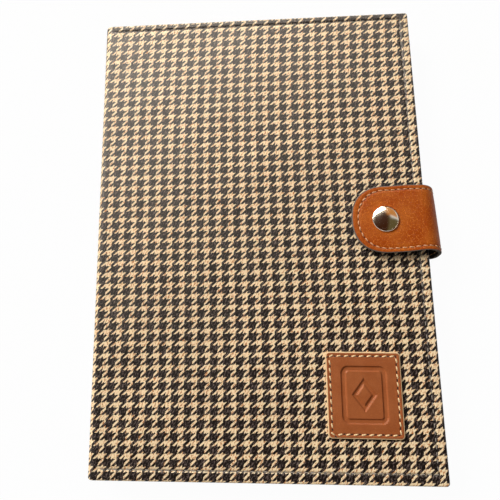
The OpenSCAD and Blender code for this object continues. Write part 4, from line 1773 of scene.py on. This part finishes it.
@dataclass
class PenLoop:
    """Ribbed elastic pressed to a flat ring in the gutter."""

    folder: Folder  # the shared sizes
    from_spine: float = 4.7  # distance to the spine
    inner_w: float = 11.0  # inner width
    inner_h: float = 5.2  # inner height
    thickness: float = 0.8  # thickness of the elastic
    width: float = 25.0  # width of the elastic, along the pen
    rib: float = 1.4  # distance from rib to rib
    end_flat: float = 0.8  # straight part at each end of the ring

    def ring(self, grow: Array) -> tuple[Array, Array, Array]:
        """Lays out the ring.

        Args:
            grow: How far outside the inner face each column lies.

        Returns:
            X and Z from the middle of the ring, rows along the ring, and the way along it.
        """
        r = (self.inner_h - self.end_flat) / 2
        half_w, half_h = self.inner_w / 2 - r, self.inner_h / 2 - r
        x, z = [], []
        for sx, sz, start in ((1, 1, 0.0), (-1, 1, 90.0), (-1, -1, 180.0), (1, -1, 270.0)):
            for angle in np.radians(np.linspace(start, start + 90.0, 9)):
                x.append(sx * half_w + (r + grow) * math.cos(angle))
                z.append(sz * half_h + (r + grow) * math.sin(angle))
        x, z = np.array(x + x[:1]), np.array(z + z[:1])
        return x, z, distances(joined(x, z)[:, len(grow) // 2])

    def dress(self, use: Finishes) -> list[Piece]:
        """Builds the loop.

        Args:
            use: The finishes.

        Returns:
            The pieces.
        """
        folder = self.folder
        y = np.linspace(-self.width / 2, self.width / 2, 109)
        edge = smooth(self.width / 2 - np.abs(y), -0.2, 0.5)
        ribs = 0.12 * np.abs(np.sin(math.pi * y / self.rib)) ** 0.7
        x0 = -folder.edge_x + self.from_spine + self.inner_w / 2 + self.thickness
        z0 = folder.cover_t + self.inner_h / 2 + self.thickness
        work = Mesher()
        faces = {}
        for name, level in (("outer", self.thickness - 0.12 + ribs * edge), ("inner", 0.0 * y)):
            x, z, run = self.ring(level)
            faces[name] = joined(x0 + x, y, z0 + z)
            work.grid(faces[name], joined(run[:, None], y), flip=name == "inner")
        for column in (0, -1):
            rim = np.stack([faces["inner"][:, column], faces["outer"][:, column]], 1)
            work.grid(rim, joined(run[:, None], np.array([0.0, self.thickness])))
        piece = work.build("pen_loop_elastic", [use.elastic], crease=60.0, closed=True)
        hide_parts("pen_loop")
        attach(piece, "back_cover")
        return [piece]


# The studio


@dataclass
class Studio:
    """Pale floor, soft light and the camera of the photograph."""

    eye: Point = (-5.48, -50.35, 266.56)  # the camera's place in mm
    tilt: Point = (-11.687, -4.153, 0.179)  # turns of the picture plane about X, Y and Z, in degrees
    lens: float = 36.0  # focal length for a frame 36 mm wide
    shift: Pair = (0.0764, -0.0458)  # shift of the frame, in widths
    sky: float = 0.24  # strength of the even light from all round
    floor: float = 6.0  # half the width of the floor in metres

    def put(self, name: str, data: bpy.types.ID) -> Piece:
        """Puts a new object of that name in the scene."""
        made = bpy.data.objects.new(name, data)
        bpy.context.scene.collection.objects.link(made)
        return made

    def camera(self) -> None:
        """Sets up the camera."""
        data = bpy.data.cameras.new("camera")
        data.lens, data.sensor_width = self.lens, 36.0
        data.clip_start, data.clip_end = 0.01, 20.0
        data.shift_x, data.shift_y = self.shift
        made = self.put("camera", data)
        about = [Matrix.Rotation(math.radians(a), 3, axis) for a, axis in zip(self.tilt, "XYZ")]
        turn = (about[2] @ about[0] @ about[1]).transposed().to_4x4()
        made.matrix_world = Matrix.Translation([c * MM for c in self.eye]) @ turn
        bpy.context.scene.camera = made

    def lamp(self, name: str, at: Point, size: float, watts: float) -> None:
        """Adds a soft white lamp that looks at the object and doesn't show in reflections.

        Args:
            name: Its name.
            at: Its place in metres.
            size: Width of its round panel in metres.
            watts: Its power.
        """
        data = bpy.data.lights.new(name, "AREA")
        data.shape, data.size, data.energy = "DISK", size, watts
        made = self.put(name, data)
        made.location = at
        made.rotation_euler = (-Vector(at)).to_track_quat("-Z", "Y").to_euler()
        made.visible_glossy = False

    def panel(self, name: str, finish: Material, half: Pair, down: bool = False) -> Piece:
        """Adds a flat panel that isn't part of the object.

        Args:
            name: Its name.
            finish: Its material.
            half: Half its width and height in metres.
            down: Whether it faces down.

        Returns:
            The panel.
        """
        mesh = bpy.data.meshes.new(name)
        corners = [(-1, -1, 0), (1, -1, 0), (1, 1, 0), (-1, 1, 0)]
        mesh.from_pydata(corners, [], [(0, 3, 2, 1) if down else (0, 1, 2, 3)])
        mesh.materials.append(finish)
        made = self.put(name, mesh)
        made.scale = (*half, 1.0)
        return made

    def card(self, name: str, at: Point, half: Pair, turn: float,
             colour: str, strength: float = 1.0) -> None:
        """Adds a coloured panel with soft edges overhead that shows in reflections alone.

        Args:
            name: Its name.
            at: Its middle in metres.
            half: Half its width and height.
            turn: Its turn in degrees, anticlockwise from above.
            colour: Its colour.
            strength: How much brighter than paper it is, for the panes of a window.
        """
        paper = Surface(f"{name} paper")
        place = paper.add("SeparateXYZ", paper.add("TexCoord").outputs["Object"])
        edges = []
        for axis in "XY":
            inset = paper.add("SUBTRACT", 1.0, paper.add("ABSOLUTE", place.outputs[axis]))
            edges.append(paper.add("MapRange", inset, 0.0, 0.3, interpolation_type="SMOOTHSTEP"))
        shine = paper.add("Emission", colour, strength)
        clear = paper.add("BsdfTransparent")
        mix = paper.add("MixShader", paper.add("MULTIPLY", *edges), clear, shine)
        made = self.panel(name, paper.show(mix), half, down=True)
        made.location = at
        made.rotation_euler = (0.0, 0.0, math.radians(turn))
        for rays in ("camera", "diffuse", "shadow", "transmission"):
            setattr(made, f"visible_{rays}", False)

    def background(self, tree: bpy.types.NodeTree) -> Node:
        """1 for the rays that see the background: from the camera, by gloss and through glass."""
        rays = add(tree, "LightPath").outputs
        either = add(tree, "MAXIMUM", rays["Is Camera Ray"], rays["Is Glossy Ray"])
        return add(tree, "MAXIMUM", either, rays["Is Transmission Ray"])

    def build(self) -> None:
        """Builds floor, sky, the lamp and what the gloss mirrors: a window and three walls."""
        scene = bpy.context.scene
        scene.world = bpy.data.worlds.new("even sky")
        scene.world.use_nodes = True
        tree = scene.world.node_tree
        shader = tree.nodes["Background"]
        plug(shader.inputs["Strength"], add(tree, "Mix", self.background(tree), self.sky, 1.0))
        plug(shader.inputs["Color"], "#FFFFFF")
        paper = Surface("White paper floor", Base_Color="#C8C8C8", Roughness=0.9)
        share = paper.add("MULTIPLY", self.background(paper.tree), 0.97)
        mix = paper.add("MixShader", share, paper.shader, paper.add("Emission", Strength=1.0))
        self.panel("floor", paper.show(mix), (self.floor, self.floor))
        self.lamp("window", (-4.8, 4.2, 4.66), 3.6, 779.0)
        self.card("pane", (-0.885, 1.475, 1.18), (1.89, 0.71), 31.0, "#FFF6E6", 44.0)
        self.card("dark_card", (-0.5, -0.06, 1.22), (1.6, 1.9), 0.0, "#40200F")
        self.card("amber_card", (1.65, 1.75, 1.16), (1.4, 1.35), 0.0, "#CE8A45")
        self.card("olive_card", (1.75, -1.0, 1.14), (1.4, 1.6), 0.0, "#655A3A")
        scene.view_settings.view_transform = "Standard"


def holder_pockets(folder: Folder) -> list[Pocket]:
    """The pad pocket, the slip pocket and the three stepped card pockets, the deepest first."""
    right, bottom = folder.edge_x - 3.0, 3.0 - folder.height / 2
    pad_w, pad_h, notch = 142.0, 104.0, 13.0
    slip_w, slip_h, slant = 156.0, 206.0, 56.0
    card_w, card_h, card_step = 98.0, 48.0, 15.0
    notch_x = right - pad_w / 2

    def pad_mouth(x: Array) -> Array:
        """Mouth of the pad pocket with its thumb notch."""
        return bottom + pad_h - np.sqrt(np.clip(notch**2 - (np.asarray(x) - notch_x) ** 2, 0.0, None))

    def slip_mouth(x: Array) -> Array:
        """Slanted mouth of the slip pocket."""
        return bottom + slip_h - slant * (np.asarray(x) - (right - slip_w)) / slip_w

    thumb = tuple(notch_x - notch * math.cos(a) for a in np.linspace(0.0, math.pi, 21))
    z = folder.cover_t + 0.6
    made = [
        Pocket("pad_pocket", Half.BACK, folder, z, right - pad_w, right, bottom, pad_mouth, thumb),
        Pocket("slip_pocket", Half.FRONT, folder, z, right - slip_w, right, bottom, slip_mouth),
    ]
    left, bottom_card = folder.edge_x - 22.0 - card_w, 24.0 - folder.height / 2
    for place, name in enumerate(("upper", "middle", "lower")):
        top = bottom_card + card_h + (2 - place) * card_step
        made.append(
            Pocket(
                f"card_pocket_{name}", Half.FRONT, folder, folder.cover_t + 0.6 * (place + 2), left,
                left + card_w, bottom_card, lambda x, top=top: top + 0.0 * np.asarray(x),
                hem=5.0, seam_top=top - 1.0, corner_r=3.0 - 0.3,
            )
        )
    return made


def main() -> None:
    """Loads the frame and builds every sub-assembly in order."""
    logging.basicConfig(level=logging.INFO, format="%(name)s: %(message)s")
    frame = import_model()
    folder, studio = Folder(), Studio()
    studio.camera()
    studio.build()
    use = Finishes()
    strap = Strap(folder)
    slot_middle, slot_half = strap.y + strap.drawn[1], strap.width / 2 + 0.3
    slot_y = (slot_middle - slot_half, slot_middle + slot_half)
    assemblies = [
        Cover(Half.BACK, folder, slot_y), Cover(Half.FRONT, folder), strap, Snap(strap), Patch(folder),
        *holder_pockets(folder), PenLoop(folder),
    ]
    made = [piece for assembly in assemblies for piece in assembly.dress(use)]
    boards = dict.fromkeys(("back_board", "spine_board", "front_board"), use.board)
    for name, finish in (boards | dict.fromkeys(("stud_rivet", "snap_spring"), use.metal)).items():
        slots = frame["nodes"][name].data.materials
        slots.clear()
        slots.append(finish)
    for piece in made:
        log.info("%s: %d faces", piece.name, len(piece.data.polygons))


if __name__ == "__main__":
    main()
